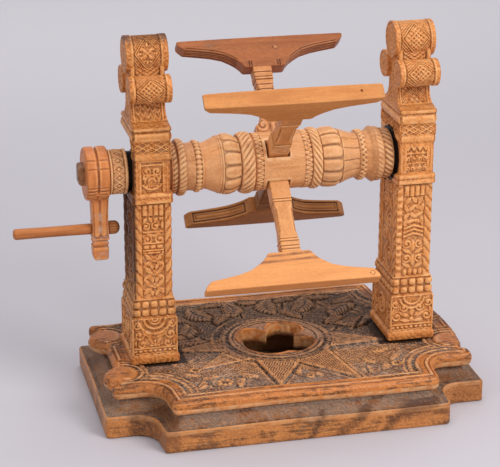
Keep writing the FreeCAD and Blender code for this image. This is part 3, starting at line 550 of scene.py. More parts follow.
def carved_field(x, y, r, angle):
    """Sunk field: rough ground with leaves, knife slots, a pebbled band in front, rosettes, star points."""
    grain = 0.22 * np.sin(1.9 * x + 0.7 * y) * np.sin(0.6 * x - 2.1 * y)
    scratch = 0.3 * wave(0.34 * r + angle / 9.0)
    front = np.clip((-y - 34) / 12, 0, 1)
    level = GROUND + grain + (1 - front) * (scratch - 0.8)
    for cx, cy, long, wide, lean, hand in LEAVES:
        near = (np.abs(x - cx) < long + 6) & (np.abs(y - cy) < long + 6)
        moat = acanthus(x[near], y[near], (cx, cy), (long + 1.4, wide + 1.4), lean, hand)
        shape = acanthus(x[near], y[near], (cx, cy), (long, wide), lean, hand)
        level[near] = np.maximum(level[near] - 1.3 * (moat > 0),
                                 np.where(shape > 0, GROUND - 0.3 + 2.4 * shape, -9))
    for ax, ay, bx, by, half in SLOTS:
        t = np.clip(((x - ax) * (bx - ax) + (y - ay) * (by - ay)) / ((bx - ax) ** 2 + (by - ay) ** 2), 0, 1)
        gap = np.hypot(x - ax - t * (bx - ax), y - ay - t * (by - ay))
        level = level + vee(gap, half, 1.3 + 0.9 * half)
    lumps = wave(x / 4.6 + 0.2 * np.sin(y / 2.9)) * wave(y / 3.8 + 0.22 * np.sin(x / 4.7))
    middle = inside(-y, 34, 71, 3.0) * inside(np.abs(x), -1, 108, 4.0)
    level = np.maximum(level, GROUND - 0.5 + middle * (0.5 + 0.9 * lumps) - 9 * (middle < 0.02))
    for cx, cy, size in ROSETTES:
        near = np.hypot(x - cx, y - cy) / size
        petals = 0.75 + 0.25 * np.cos(7 * np.arctan2(y - cy, x - cx))
        flower = GROUND - 0.8 + 2.6 * np.sqrt(np.clip(1 - np.abs(near - 0.66) / 0.36, 0, 1)) * petals
        level = np.where(near < 1.0, flower + 1.0 * np.clip(1 - near * 4.5, 0, 1), level)
    for tx, ty, foot, base, high in STAR:
        within, hatch = star_point(x, y, (tx, ty), foot, base)
        tall = 0.6 * (high - 2) + 0.45 * hatch + bead(within - 1.0, 1.2, 0.35 * high) + 0.2 * high * lumps
        level = np.where(within > 0, np.maximum(tall, level), level + vee(within + 1.4, 1.8, 2.1 * high))
    return level


def lid_level(x, y, edge):
    """Height of the carved top, 0 at the rim. It depends on the distance from the edge (nose, grooves and
    bead), on the distance from the notch's centre (chip-carved arcs), and on the distance from the well."""
    level = -NOSE_R * (1 - np.sqrt(1 - np.clip(1 - edge / NOSE_R, 0, 1) ** 2))
    nose = level
    level = level + vee(edge - 4.5, 1.3, 1.7) + bead(edge - 6.7, 1.5, 0.8) + vee(edge - 8.7, 0.8, 0.7)
    level = level - 0.7 * np.sin(np.pi * np.clip((edge - 8.7) / 7.6, 0, 1))
    r, angle = np.hypot(x - RING_X, y - RING_Y), np.degrees(np.arctan2(y - RING_Y, x - RING_X))
    field = carved_field(x, y, r, angle)

    # round each notch: a plain fillet, a band of slanting chips, and a double line
    arc = np.hypot(np.abs(x) - NOTCH_X, np.abs(y) - NOTCH_Y)
    turn = np.degrees(np.arctan2(np.abs(y) - NOTCH_Y, np.abs(x) - NOTCH_X))
    chip = np.abs(((turn + 2.2 * (arc - 43)) / 7.0) % 1 - 0.5) * 2
    chips = -1.9 + 1.5 * np.sqrt(np.clip(1 - np.abs(arc - 43.6) / 4.6 - chip * 0.75, 0, 1))
    corner = np.where(arc < 39.0, -0.3 + vee(arc - 38.6, 1.3, 1.3), np.where(arc < 48.2, chips, field))
    corner = corner + bead(arc - 49.2, 1.3, 1.3) + vee(arc - 51.2, 0.9, 0.8)
    field = np.where(arc < 52, np.maximum(corner, GROUND), field)

    # chips and grooves round the well's ring
    petal = np.abs(((angle + 0.8 * r) / 6.4) % 1 - 0.5) * 2
    petals = -1.8 + 1.3 * np.sqrt(np.clip(1 - np.abs(r - 50.4) / 3.6 - petal * 0.7, 0, 1))
    ripples = -1.1 + 0.45 * wave((r - 48.9) / 3.4)
    plain = np.clip((-y - 8 - 0.3 * x) / 14, 0, 1)
    petals = petals + (ripples - petals) * plain
    field = np.where(r < 54.2, petals, field)
    field = field + (1 - 0.6 * plain) * (vee(r - 55.8, 1.0, 0.7) + bead(r - 54.6, 1.0, 0.9))
    field = field + np.where(x < -30, bead(r - 62.5, 1.2, 0.9), 0)
    brink = bead(edge - 15.4, 1.9, 0.3) + vee(edge - 17.6, 1.0, 1.2) - 0.15 * inside(edge, 14, 18)
    level = np.where(edge > RIM_IN + 0.8, field, level + brink)

    # rounded ears: a low dome about each ear's middle, and ripples round it that run out into the field
    for cx, cy in EARS:
        q = np.hypot(x - cx, np.abs(y) - cy)
        ripple = 0.6 * wave((q - 19.2) / 5.4) - 0.4 - 0.8 * np.clip((q - 16) / 14, 0, 1)
        ripple = nose + np.where(q > EAR_R, ripple, bead(q, 16, 0.9) - 0.7) + vee(q - EAR_R, 1.2, 1.3)
        level = np.where((q < 30 - 0.12 * np.abs(y)) & (np.abs(x) > NOTCH_X - 14), ripple, level)

    # the ring: three plain ridges, falling a little to a rounded lip
    ring = vee(r - RING_R, 1.3, 1.7) + vee(r - RING_R + 4.2, 0.9, 0.9) + vee(r - RING_R + 8.0, 0.9, 0.8)
    ring = ring + bead(r - RING_R + 2.1, 1.9, 0.5) + bead(r - RING_R + 6.1, 1.7, 0.4) - 0.3
    return np.where(r < RING_R, ring, level)


def well_reach(angle):
    """Distance from the ring's centre to the well's edge: the far side of whichever lobe reaches furthest."""
    far = np.zeros_like(angle)
    for x, y, r in WELL_LOBES:
        along = (x - RING_X) * np.cos(angle) + (y - RING_Y) * np.sin(angle)
        off = (x - RING_X) * np.sin(angle) - (y - RING_Y) * np.cos(angle)
        half_chord = np.sqrt(np.clip(r * r - off * off, 0, None))
        far = np.maximum(far, np.where(np.abs(off) < r, along + half_chord, 0))
    return far


def make_lid():
    """Rim, field and the well's lip on one set of columns round the outline. A column runs in from its
    outline point to the point of the ring at the same angle, then on to the well's edge, over a rounded lip
    and down its wall. Returns each one's sheet and level, by name."""
    line = lid_outline()
    angle = np.arctan2(line[:, 1] - RING_Y, line[:, 0] - RING_X)
    toward = np.stack([np.cos(angle), np.sin(angle)], -1)
    reach = np.linalg.norm(line - (RING_X, RING_Y), axis=1)

    def at(distance):
        """Points at a distance from the ring's centre, one for each column."""
        return np.array([RING_X, RING_Y]) + toward * distance[:, None]

    def flat(distance, z):
        """The same, at one height."""
        return np.column_stack([at(distance), np.full(len(line), z)])

    steps = np.concatenate([[0.0, 0.3, 0.7, 1.3], np.arange(2.1, RIM_IN + 0.01, 0.64)])
    rim = np.array([at(reach - s) for s in steps])
    edge = edge_distance(rim[..., 0], rim[..., 1], line)
    top = lid_level(rim[..., 0], rim[..., 1], edge)
    seam = BASE_TOP - 6
    under = [(RIM_IN + 1.0, UPPER_BOTTOM), (4.6, UPPER_BOTTOM), (2.6, UPPER_BOTTOM + 0.7),
             (1.3, UPPER_BOTTOM + 1.9), (0.5, UPPER_BOTTOM + 3.5), (0.1, UPPER_BOTTOM + 5.3),
             (0.0, BASE_TOP - NOSE_R - 0.6)]
    rows = [flat(reach - s, z) for s, z in under] + list(np.dstack([rim, BASE_TOP + top]))
    rim_sheet = np.array(rows + [flat(reach - steps[-1], seam)])
    rim_level = np.zeros(rim_sheet.shape[:2])
    rim_level[len(under):-1] = top * (edge > NOSE_R)
    rim_level[:2] = -2.5

    well = softened(np.minimum(well_reach(angle), RING_R - LIP - 1.5)[None], 10)[0]
    ring_reach = np.maximum(well + WELL_LIP, RING_R - 10.5)
    outer = reach - RIM_IN
    field = np.array([at(outer + (ring_reach - outer) * s) for s in np.linspace(0, 1, 90)]
                     + [at(ring_reach + (well + WELL_LIP - ring_reach) * s) for s in (0.5, 1.0)])
    edge = edge_distance(field[..., 0], field[..., 1], line)
    level = lid_level(field[..., 0], field[..., 1], edge)
    field_sheet = np.concatenate([[flat(outer, UPPER_BOTTOM), flat(outer, seam)],
                                  np.dstack([field, BASE_TOP + level]),
                                  [flat(well + WELL_LIP, BASE_TOP - 1.0),
                                   flat(well + WELL_LIP, UPPER_BOTTOM)]])
    field_level = np.pad(level, ((2, 2), (0, 0)))

    # the lip stands a little proud, half round, with a wavy hand-cut wall below it
    waver = 0.35 * np.sin(angle * 23) + 0.3 * np.sin(angle * 41 + 1.0)
    turned_lip = [flat(well + 1.6 - 1.6 * math.sin(t), BASE_TOP - 0.9 + 1.5 * math.cos(t))
                  for t in np.linspace(-1.1, math.pi / 2, 9)]
    wall = [flat(well + waver * share, z) for z, share in
            ((BASE_TOP - 3.5, 0.6), (seam, 1.0), (BASE_TOP - 8.5, 1.0), (BASE_TOP - 11, 0.5),
             (UPPER_BOTTOM, 0))]
    foot = [flat(well + WELL_LIP - 0.1, z) for z in (UPPER_BOTTOM, BASE_TOP - 0.9)]
    lip_sheet = np.array(foot + turned_lip + wall)
    lip_level = [[0.0]] * 2 + [[0.3]] * 9 + [[0.2], [0.1], [0.0], [-0.5], [-2.5]]
    lip_level = np.repeat(lip_level, len(line), axis=1)
    return {"rim": (rim_sheet, rim_level), "field": (field_sheet, field_level),
            "well_lip": (lip_sheet, lip_level)}


def lid_dirt_and_shade(x, y, z):
    """Clean along the front edge, darker to the back and at the ends and in a ring round the well; a painted
    contact shadow round the posts' feet; clean on the well's lip but for painted shade low on its wall and a
    darkened front right part of the wall."""
    back = np.clip((y + 60) / 80, 0, 1) * np.where(y > 102, 0.3, 0.9) * np.where(x < -148, 0.5, 1)
    ends = np.clip((np.abs(x) - 100) / 45, 0, 1) * 0.25 * np.clip((y + 125) / 40, 0.25, 1)
    r = np.hypot(x - RING_X, y - RING_Y)
    well = np.clip((r - 38) / 14, 0, 1)
    ring = 0.6 * inside(r, 39, 53, 2.0)
    # painted shade deep in the well
    wall = np.clip((BASE_TOP - 8.0 - z) / 3, 0, 1) * (r < 45)
    # a darkened front right part of the well's wall
    dark_corner = 0.75 * (r < 45) * (x > 12) * (z < BASE_TOP - 2.5) * (y < 8)
    front = 0.12 * inside(-y, 30, 104, 4.0)
    notch = 0.4 * inside(-x, 112, 150, 5.0) * inside(-y, 72, 112, 4.0) * (z < BASE_TOP - 1)
    # painted contact shadow round the posts' feet
    foot = 1.3 * inside(np.abs(x), 95, 143.8, 1.2) * inside(np.abs(y), -1, 31.8, 1.2) * (z > BASE_TOP - 5)
    return np.maximum.reduce([back * well, ends * well, ring, wall, dark_corner, front, notch, foot])


def kept_warm(x, y, z):
    """The tall star points, rosettes and a ragged band in front of the ring, which hands keep orange."""
    points = [star_point(x, y, (tx, ty), foot, base)[0] for tx, ty, foot, base, high in STAR if high > 0.9]
    ragged = 4 * np.sin(x / 3.1 + 2 * np.sin(y / 2.3)) + 3 * np.sin(x / 7.7 + y / 3.9)
    band = (y < -38) & (y > ragged - 72) & (x > ragged - 58) & (x < ragged + 100)
    flowers = np.min([np.hypot(x - cx, y - cy) - size for cx, cy, size in ROSETTES], axis=0) < -0.3
    outside = np.hypot(x - RING_X, y - RING_Y) > RING_R + 1
    return ((np.maximum.reduce(points) > 0.2) | band | flowers) & outside


field_finish = dict(dust=(0.40, 0.32, 0.27), blotch=0.35, rub=1.0, chisel=1.0, grain="x")
field_wood = wood("field_wood", light=(0.40, 0.172, 0.078), dark=(0.20, 0.096, 0.051),
                  stain_and_shade=(0.032, 0.018, 0.012), worn=(0.74, 0.36, 0.16), dusty=0.65, **field_finish)
warm_wood = wood("warm_wood", light=(0.53, 0.215, 0.078), dark=(0.30, 0.125, 0.05),
                 stain_and_shade=(0.042, 0.021, 0.012), worn=(0.74, 0.355, 0.14), dusty=0.2, **field_finish)
rim_wood = wood("rim_wood", light=(0.74, 0.252, 0.056), dark=(0.49, 0.158, 0.038), stain_and_shade=(0.10, 0.034, 0.012),
                worn=(0.84, 0.46, 0.22), dust=(0.44, 0.36, 0.30), dusty=0.35, blotch=0.9, rub=0.7, deep=0.85,
                chisel=0.3, grain="x")


def on_ears(x, y, z):
    """The ears' domes, which are rubbed like the rim."""
    return np.minimum(*[np.hypot(x - cx, np.abs(y) - cy) for cx, cy in EARS]) < EAR_R


for part, (sheet, level) in make_lid().items():
    piece = sheet_piece("base_" + part, wobble(sheet, 0.3), level, "stand",
                        field_wood if part == "field" else rim_wood, "base_wood", ["base_block"], ring=True,
                        shade_and_dirt=lid_dirt_and_shade)
    if part == "field":
        refinish(piece, warm_wood, kept_warm)
        refinish(piece, rim_wood, on_ears)


# ---------------- underside
# A thin board closes the hollow from below, held by four forged nails, and each post's tenon is spread by a
# wedge driven up into it. These are plain sawn wood and iron.

board_wood = wood("board_wood", light=(0.30, 0.17, 0.09), dark=(0.17, 0.095, 0.05), stain_and_shade=(0.07, 0.04, 0.025),
                  worn=(0.36, 0.22, 0.13), dusty=0.3, blotch=0.4, grain="x", gloss=0.15)


def forged_iron():
    """Blackened nail iron with rusty bloom: a fine noise moves between near-black and rust brown."""
    made, tree, shader, place = plain_material("forged_iron")
    rust = ramp(tree, noise(tree, place, 900.0, 5.0), 0.45, 0.65)
    tree.links.new(blended(tree, rust, (0.035, 0.03, 0.028, 1), (0.13, 0.05, 0.02, 1)),
                   shader.inputs["Base Color"])
    tree.links.new(maths(tree, "ADD", 0.5, maths(tree, "MULTIPLY", rust, 0.35)), shader.inputs["Roughness"])
    shader.inputs["Metallic"].default_value = 0.7
    return made


for name, finish in (("bottom_board", board_wood), ("tenon_wedges", board_wood),
                     ("board_nails", forged_iron())):
    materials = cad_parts[name].data.materials
    materials.clear()
    materials.append(finish)


# ---------------- posts
# Two square posts tenoned through the base, each cut from one piece: pedestal, two rows of billets, carved
# shaft, double-roll ledge, bearing block, chip-carved band, mouldings, neck and three scrolled rolls.

post_low, post_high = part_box("post_right")
POST_X = 1000 * (post_low.x + post_high.x) / 2
POST_TOP = 1000 * post_high.z
AXLE_Z, BORE_R = 227.5, 20.05
FOOT_Z, BEARING_Z, HEAD_Z = BASE_TOP, 197.0, 276.0
# height, half width (X) and half depth (Y) where the post's size changes
STAGES = ((47, 22.6, 30.6), (48.2, 23.3, 31), (53.4, 23.0, 31), (54.4, 21.5, 30.5), (92.6, 21.5, 30.5),
          (94, 20.2, 29.2), (109.6, 20.2, 29.2), (111, 18, 27.5), (203.2, 18, 27.5), (204.2, 18, 30),
          (213.2, 18, 30), (213.9, 16.4, 28.5), (243.4, 16.4, 28.5), (244.4, 17, 29.2), (251.4, 17, 29.2),
          (252.4, 17.6, 29.8), (261.6, 17.6, 29.8), (262.4, 16.6, 28.9), (271.6, 16.6, 28.9),
          (272.4, 17.4, 29.6), (276, 17.4, 29.6), (277, 17.2, 26), (279.5, 16.6, 19), (283.7, 16.2, 15),
          (290, 16, 13), (337, 16, 13))
# rolls worked across all four faces: height, half height, how far they stand out
MOULDINGS = ((206.4, 2.5, 1.0), (211.2, 2.3, 0.8), (248.0, 2.8, 0.7), (266.8, 4.2, 1.9), (274.1, 1.9, 0.8))
# where each band of carving starts and ends
PEDESTAL, BILLETS, SHAFT = (56.2, 90.8), (93.4, 110.0), (110.6, 203.6)
BLOCK, BAND, NECK = (214.0, 244.0), (252.3, 261.7), (280.0, 303.0)
TOP_ROLL_R, LOW_ROLL_R, LOW_ROLL_Y, LOW_ROLL_Z, ROLL_X = 17.0, 12.8, 20.5, 309.0, 19.4
FRONT, RIGHT, BACK, LEFT = range(4)


def loft(rise, half_x, half_y, counts, corner, relief):
    """Upright piece with a rounded rectangular section. rise, half_x and half_y give each row's height and
    half sizes. On face k a point is tangent * f * (half length - corner) + normal * (half size), and round a
    corner the two are joined by a quarter circle; relief(face, a, z) then moves it along the normal, where a
    is the place across the face. Returns the sheet and the relief."""
    places = []
    for k, count in enumerate(counts):
        places += [(k, f, 0.0) for f in np.linspace(-1, 1, count)]
        places += [(k, 1.0, t) for t in np.linspace(0, np.pi / 2, 5)[1:-1]]
    face, share, turn = np.array(places).T
    face = face.astype(int)
    tangent = np.array([(1, 0), (0, 1), (-1, 0), (0, -1)])[face]
    normal = np.array([(0, -1), (1, 0), (0, 1), (-1, 0)])[face]
    sizes = np.stack([half_x, half_y])
    along, out = sizes[face % 2].T - corner, sizes[(face + 1) % 2].T - corner
    late = turn > np.pi / 4 + 0.01
    owner = np.where(late, (face + 1) % 4, face)
    a = np.where(late, -out - corner * (np.pi / 2 - turn), share * along + corner * turn)
    z = np.broadcast_to(np.asarray(rise)[:, None], a.shape)
    level = np.zeros(a.shape)
    for k in range(4):
        mine = owner == k
        level[:, mine] = relief(k, a[:, mine], z[:, mine])
    sine, cosine = np.sin(turn), np.cos(turn)
    far, near = share * along + (corner + level) * sine, out + (corner + level) * cosine
    flat = far[..., None] * tangent + near[..., None] * normal
    return np.dstack([flat, z]), level


def rope(a, b, at, half, pitch, lean):
    """Column of twisted strands: a half-round column about a = at, cut by slanting grooves every pitch."""
    across = (a - at) / half
    strand = ((b + lean * (a - at)) / pitch) % 1 * 2 - 1
    dome = np.sqrt(np.clip(1 - across ** 2, 0, 1))
    return dome * (0.25 + 0.75 * np.sqrt(np.clip(1 - strand ** 2, 0, 1)))


def pebble(a, b, at, half_a, half_b, power=2):
    """Rounded lump; a higher power makes it boxier."""
    rest = 1 - np.abs((a - at[0]) / half_a) ** power - np.abs((b - at[1]) / half_b) ** power
    return np.sqrt(np.clip(rest, 0, 1))


def tongue(a, b, at, half, long, up=1):
    """Round-headed upright bar from at, long high."""
    rise = (b - at[1]) * up
    radius = np.where(rise < long - half, np.abs(a - at[0]), np.hypot(a - at[0], rise - (long - half))) / half
    return np.where(rise > 0, np.sqrt(np.clip(1 - radius ** 2, 0, 1)), 0)


def fan(a, b, at, radius, rays):
    """Half-round bud of rays above at, with a round eye."""
    x, y = a - at[0], b - at[1]
    r = np.hypot(x, y) / radius
    ray = np.clip((1 - r) * 4, 0, 1) * (0.65 + 0.35 * np.cos(np.arctan2(x, y) * rays))
    return np.where(y > -0.2 * radius, np.maximum(ray, np.clip(1.6 - 5 * r, 0, 1)), 0)


def diamond(a, b, half_a, half_b):
    """0 at the middle of a diamond and 1 on its outline."""
    return np.abs(a) / half_a + np.abs(b) / half_b


def lattice(a, b, pitch):
    """Fine woven mesh: two sets of slanting ridges that pass over and under each other."""
    u, v = (a + b) / pitch, (a - b) / pitch
    over = np.where((np.floor(u + 0.5) + np.floor(v + 0.5)) % 2 == 0, 0.25, 0.0)
    near_u, near_v = np.abs((u + 0.5) % 1 - 0.5), np.abs((v + 0.5) % 1 - 0.5)
    return np.maximum(bead(near_u, 0.30, 0.75) + over * (near_u < 0.26),
                      bead(near_v, 0.30, 0.75) + 0.25 - over)


def vine(a, b, period, spread, size):
    """Climbing vine: a wavy stem with a scroll in each bend, side by side about, and a leaf facing it."""
    half = period / 2
    step = np.floor(b / half)
    side = np.where(step % 2 == 0, 1, -1)
    local = b - (step + 0.5) * half
    stem = bead(a - spread * 0.55 * np.sin(2 * np.pi * b / period), 1.5, 0.9)
    scroll = curl(side * a, local, (-spread, 0), size, 1, 1.7, 0.25)
    leaves = leaf(side * a, local, (spread * 0.9, 0), (size * 0.85, size * 0.42), -35)
    return np.maximum(np.maximum(stem, scroll), leaves * 0.9)


def pit(a, b, at, radius):
    """Small drilled hole: 1 at its middle, 0 at its edge."""
    return np.clip(1 - np.hypot(a - at[0], b - at[1]) / radius, 0, 1)


def pits(a, b, places, radius):
    """Drilled holes of one size, one for each place."""
    return [pit(a, b, place, radius) for place in places]


def highest(shapes):
    """The highest of several shapes at each place."""
    return np.maximum.reduce(list(shapes))


def shaft_panel_left(a, z):
    """Left post's front panel, from the top down: tongues, eyes, a pair of volutes, billets, a double line,
    then fan buds with spreading leaves, with drilled holes between them."""
    shapes = [tongue(a, z, (-7.2 + 5.0 * k, 203), 2.5, 12.5, -1) for k in range(4)]
    shapes += [leaf(a, z, (-7.4 + 5.0 * k, 187.5), (3.2, 1.8), 25 - 50 * (k % 2)) for k in range(4)]
    shapes += [curl(a, z, (-6.2, 181.5), 4.2, 1, 1.3), curl(a, z, (2.0, 181.5), 4.4, -1, 1.3)]
    shapes.append(tongue(a, z, (8.6, 190), 1.6, 12, -1) * 0.9)
    for hand in (-1, 1):
        b = hand * (a - 0.3)
        shapes += [curl(b, z, (5.7, 168.5), 5.0, -1, 1.3, 0.1), leaf(b, z, (3.0, 173.2), (4.6, 1.8), 62)]
    shapes += [pebble(a, z, (-6.4 + 6.2 * k, 161.6), 2.9, 2.2, 2.6) for k in range(3)]
    shapes += [bead(z - y, 0.9, 1.0) for y in (176.0, 165.0, 158.0, 155.6)]
    holes = pits(a, z, ((-7.4, 190.6), (-2.2, 191), (2.8, 191), (7.6, 186), (-2.0, 181), (6.2, 180),
                        (-7.6, 151.5), (8.0, 151.5), (0.3, 153.2)), 1.5)
    for y in (147.5, 134.5, 121.5):
        shapes += [fan(a, z, (0.6, y), 4.6, 6)]
        for hand in (-1, 1):
            b = hand * (a - 0.6)
            shapes += [leaf(b, z, (5.6, y + 3.6), (5.2, 2.3), 40),
                       leaf(b, z, (6.2, y - 3.2), (6.0, 2.5), 128) * 0.95,
                       leaf(b, z, (2.6, y - 5.2), (4.6, 1.8), 28) * 0.9]
        holes += [pit(a, z, (0.6, y - 8.2), 1.5)] + pits(a, z, ((-6.0, y + 8.2), (7.2, y + 8.0)), 1.2)
    return highest(shapes) - 0.9 * highest(holes)


def shaft_panel_right(a, z):
    """Right post's front panel: round-headed tongues, tangled leaves, chevrons, two heart-shaped leaves and a
    row of drops with drilled holes between them."""
    shapes = [tongue(a, z, (-7.4 + 5.1 * k, 191.5), 2.5, 11.0, 1) for k in range(4)]
    for x, y, lean in ((-6, 186.5, 35), (0, 187.5, -30), (6, 186, 20), (-7.6, 179, -20), (-2, 179.5, 50),
                       (4, 180, -55), (8, 179, 10), (-7, 172, 40), (-1, 172, -60), (5, 173, 60),
                       (-4, 166, 75), (4, 166, -75), (-8, 165, 10), (8, 166, -10)):
        shapes.append(leaf(a, z, (x, y), (5.4, 2.3), lean))
    shapes += [bead(z - y + 0.32 * np.abs(a), 1.3, 1.0) for y in (162, 158, 154)]
    holes = pits(a, z, ((-4.8, 190.5), (0.3, 190.5), (5.4, 190.5), (1.6, 183.4), (-4.6, 175.4), (1.4, 155.8),
                        (0, 148), (0, 133.5), (-8.6, 134), (8.6, 134)), 1.4)
    for y in (141, 126.5):
        shapes.append(pebble(a, z, (0, y), 3.4, 5.6, 1.4))
        for hand in (-1, 1):
            shapes += [curl(hand * a, z, (6.0, y + 2.5), 5.0, 1, 1.3, 0.4),
                       leaf(hand * a, z, (6.0, y - 4.8), (5.4, 2.3), 58)]
    shapes += [pebble(a, z, (-7.4 + 5.1 * k, 115), 2.3, 3.6, 1.7) for k in range(4)]
    holes += pits(a, z, [(-4.9 + 5.1 * k, 112.2) for k in range(3)], 1.3)
    return highest(shapes) - 0.9 * highest(holes)


def pedestal_front(side, a, z):
    """Pedestal's carving: nested arcs hung from the top edge over scrolls and a fan on the left post; scrolls
    and leaves in a trilobed arch on the right one; small dots over the plain foot on both."""
    b = np.abs(a)
    hung = np.hypot(a, z - 91.5)
    if side < 0:
        shapes = [np.where(hung < 7.5, 0.6 + 0.4 * wave(hung / 2.7), 0), bead(hung - 10, 1.3, 1.0),
                  bead(hung - 15.2, 1.4, 0.95) * (z < 88), curl(b, z, (16.0, 85.0), 4.2, 1, 1.2),
                  curl(b, z, (14.6, 75.4), 5.4, -1, 1.4, 0.3), leaf(b, z, (6.6, 75.2), (6.4, 2.3), 60),
                  leaf(b, z, (4.2, 70.0), (4.6, 1.9), 30), curl(b, z, (12.2, 66.6), 4.4, 1, 1.3, 0.2),
                  leaf(b, z, (18.4, 69), (5.0, 1.7), 8), fan(a, z, (0, 65.2), 5.4, 7)]
        holes = ((0, 84.6), (9.6, 79.6), (8.0, 69.4), (18.4, 79.6), (0, 73.0))
    else:
        shapes = [bead(hung - 8.5, 1.2, 0.9), bead(hung - 12.6, 1.2, 0.9) * (z < 88.5),
                  curl(b, z, (7.6, 79.6), 4.8, 1, 1.3, 0.3), curl(b, z, (16.4, 83.4), 4.2, -1, 1.2, 0.3),
                  leaf(b, z, (7.4, 72.2), (6.6, 2.5), 66), leaf(a, z, (0, 75.0), (5.0, 2.6), 0),
                  curl(b, z, (15.0, 70.6), 5.2, 1, 1.4, 0.2), leaf(b, z, (6.4, 66.0), (5.6, 1.9), 84),
                  leaf(b, z, (18.6, 76.4), (4.0, 1.5), -10), pebble(a, z, (0, 67.0), 2.4, 3.0)]
        holes = ((0, 81.4), (11.8, 76.0), (3.6, 70.0), (10.6, 65.4), (12.4, 87.0))
    shape = highest(shapes) - 0.9 * highest(pits(b, z, holes, 1.1))
    dots = ((a + 2.3) % 4.6) - 2.3
    foot = np.maximum(pebble(dots, z, (0, 59.4), 1.7, 1.5), 0.8 * bead(z - 56.8 + 0.3 * np.cos(a), 0.8, 1.0))
    foot = foot - 0.8 * pit(dots, z, (2.2, 59.4), 1.0)
    return np.maximum(np.where(z < 61.6, foot, shape), bead(z - 62.2, 0.7, 1.0))


def billets(a, z, half, count):
    """Two rows of rounded billets between the pedestal and the shaft."""
    pitch = 2 * half / count
    cell = ((a + half) % pitch) - pitch / 2
    return -2.4 + 2.9 * highest([pebble(cell, z, (0, row), pitch * 0.46, 3.7, 2.6) for row in (97.2, 105.4)])


def pedestal_side(a, z):
    """The pedestal's sides: a target of rings with a vine round it."""
    ring = np.hypot(a, z - 75)
    target = np.where(ring < 12, 0.5 + 0.5 * wave(ring / 4.6), 0)
    return np.maximum(target, np.where(ring > 12.5, vine(np.abs(a) - 21, z, 19, 3.5, 4.8), 0))


def shaft_face(side, front, a, z):
    """The shaft: a sunk panel between two columns, roped or, at the right post's left edge, notched."""
    if front and side < 0:
        left, right = -13.8, 14.6
        columns = np.maximum(rope(a, z, left, 4.1, 10.5, 1.15), rope(a, z, right, 3.6, 10.5, -1.15))
        panel = shaft_panel_left(a - 0.4, z)
    elif front:
        left, right = -14.4, 14.0
        notched = bead(a - left, 3.5, 1.0) * (0.72 + 0.28 * wave(z / 7.0))
        columns = np.maximum(notched, rope(a, z, right, 4.2, 10.5, 1.15))
        panel = shaft_panel_right(a, z)
    else:
        left, right = -22.6, 22.6
        columns = np.maximum(rope(a, z, left, 4.6, 10.5, 1.15), rope(a, z, right, 4.6, 10.5, -1.15))
        panel = np.maximum(vine(a, z, 34, 7.5, 8.2), bead(np.abs(a) - 16.9, 1.0, 0.9))
    return np.where((a > left + 4.3) & (a < right - 4.3), -1.8 + 1.8 * panel, -2.0 + 2.4 * columns)


def block_left(a, z):
    """Left bearing block's panel: nested arcs hung over two scrolls, with drilled holes."""
    b = np.abs(a)
    hung = np.hypot(a, z - 224.6)
    shape = highest([curl(b, z, (4.6, 234.4), 4.6, 1, 1.4, 0.4), leaf(b, z, (2.6, 229.4), (4.8, 1.9), 22),
                     bead(hung - 3.0, 1.0, 0.9) * (z > 223.8), bead(hung - 6.4, 1.0, 0.9) * (z > 223.4),
                     pebble(b, z, (7.4, 228.4), 1.5, 2.6), curl(b, z, (4.4, 219.6), 2.6, -1, 1.0),
                     bead(np.hypot(a, z - 228) - 10.8, 0.9, 1.0) * (z < 222), bead(z - 240.2, 0.8, 0.9)])
    return shape - 0.9 * highest([pit(b, z, place, 1.0) for place in ((0, 234.6), (8.4, 222.6), (0, 218.4))])


def block_right(a, z):
    """Right bearing block's panel: a row of teeth, then pairs of small scrolls between rows of beads."""
    pitch = ((a + 2.9) % 5.8) - 2.9
    tooth = z - 239.4 + 1.5 * np.abs(pitch) * (z < 241)
    teeth = highest([1 - 0.9 * inside(tooth, -2.2, 0.4, 0.5), bead(z - 233.9, 0.7, 1.0)]) * (z > 233)
    rows = [teeth, pebble(pitch, z, (0, 231.2), 1.5, 1.5), bead(z - 224.4, 0.8, 1.0),
            bead(z - 214.9, 0.7, 1.0), pebble(pitch - 2.9 * np.sign(pitch), z, (0, 222.4), 1.2, 1.2)]
    rows += [curl(((5.8 + hand * a) % 11.6) - 5.8, z, (-2.9, row), 2.9, 1, 1.0, 0.3)
             for row in (228.2, 218.8) for hand in (1, -1)]
    return highest(rows)


def chip_band(a, z):
    """Chip-carved band: diamonds between crosses, in double lines."""
    cross, reach = np.abs((a + 8.4) % 16.8 - 8.4) / 8.4, np.abs(z - 257) / 4.7
    return highest([bead(reach + cross - 1, 0.16, 1), bead(reach - cross, 0.13, 0.9),
                    bead(reach + cross - 0.6, 0.12, 0.9),
                    0.8 * np.clip(1 - 2.6 * (reach + cross), 0, 1) ** 0.5])


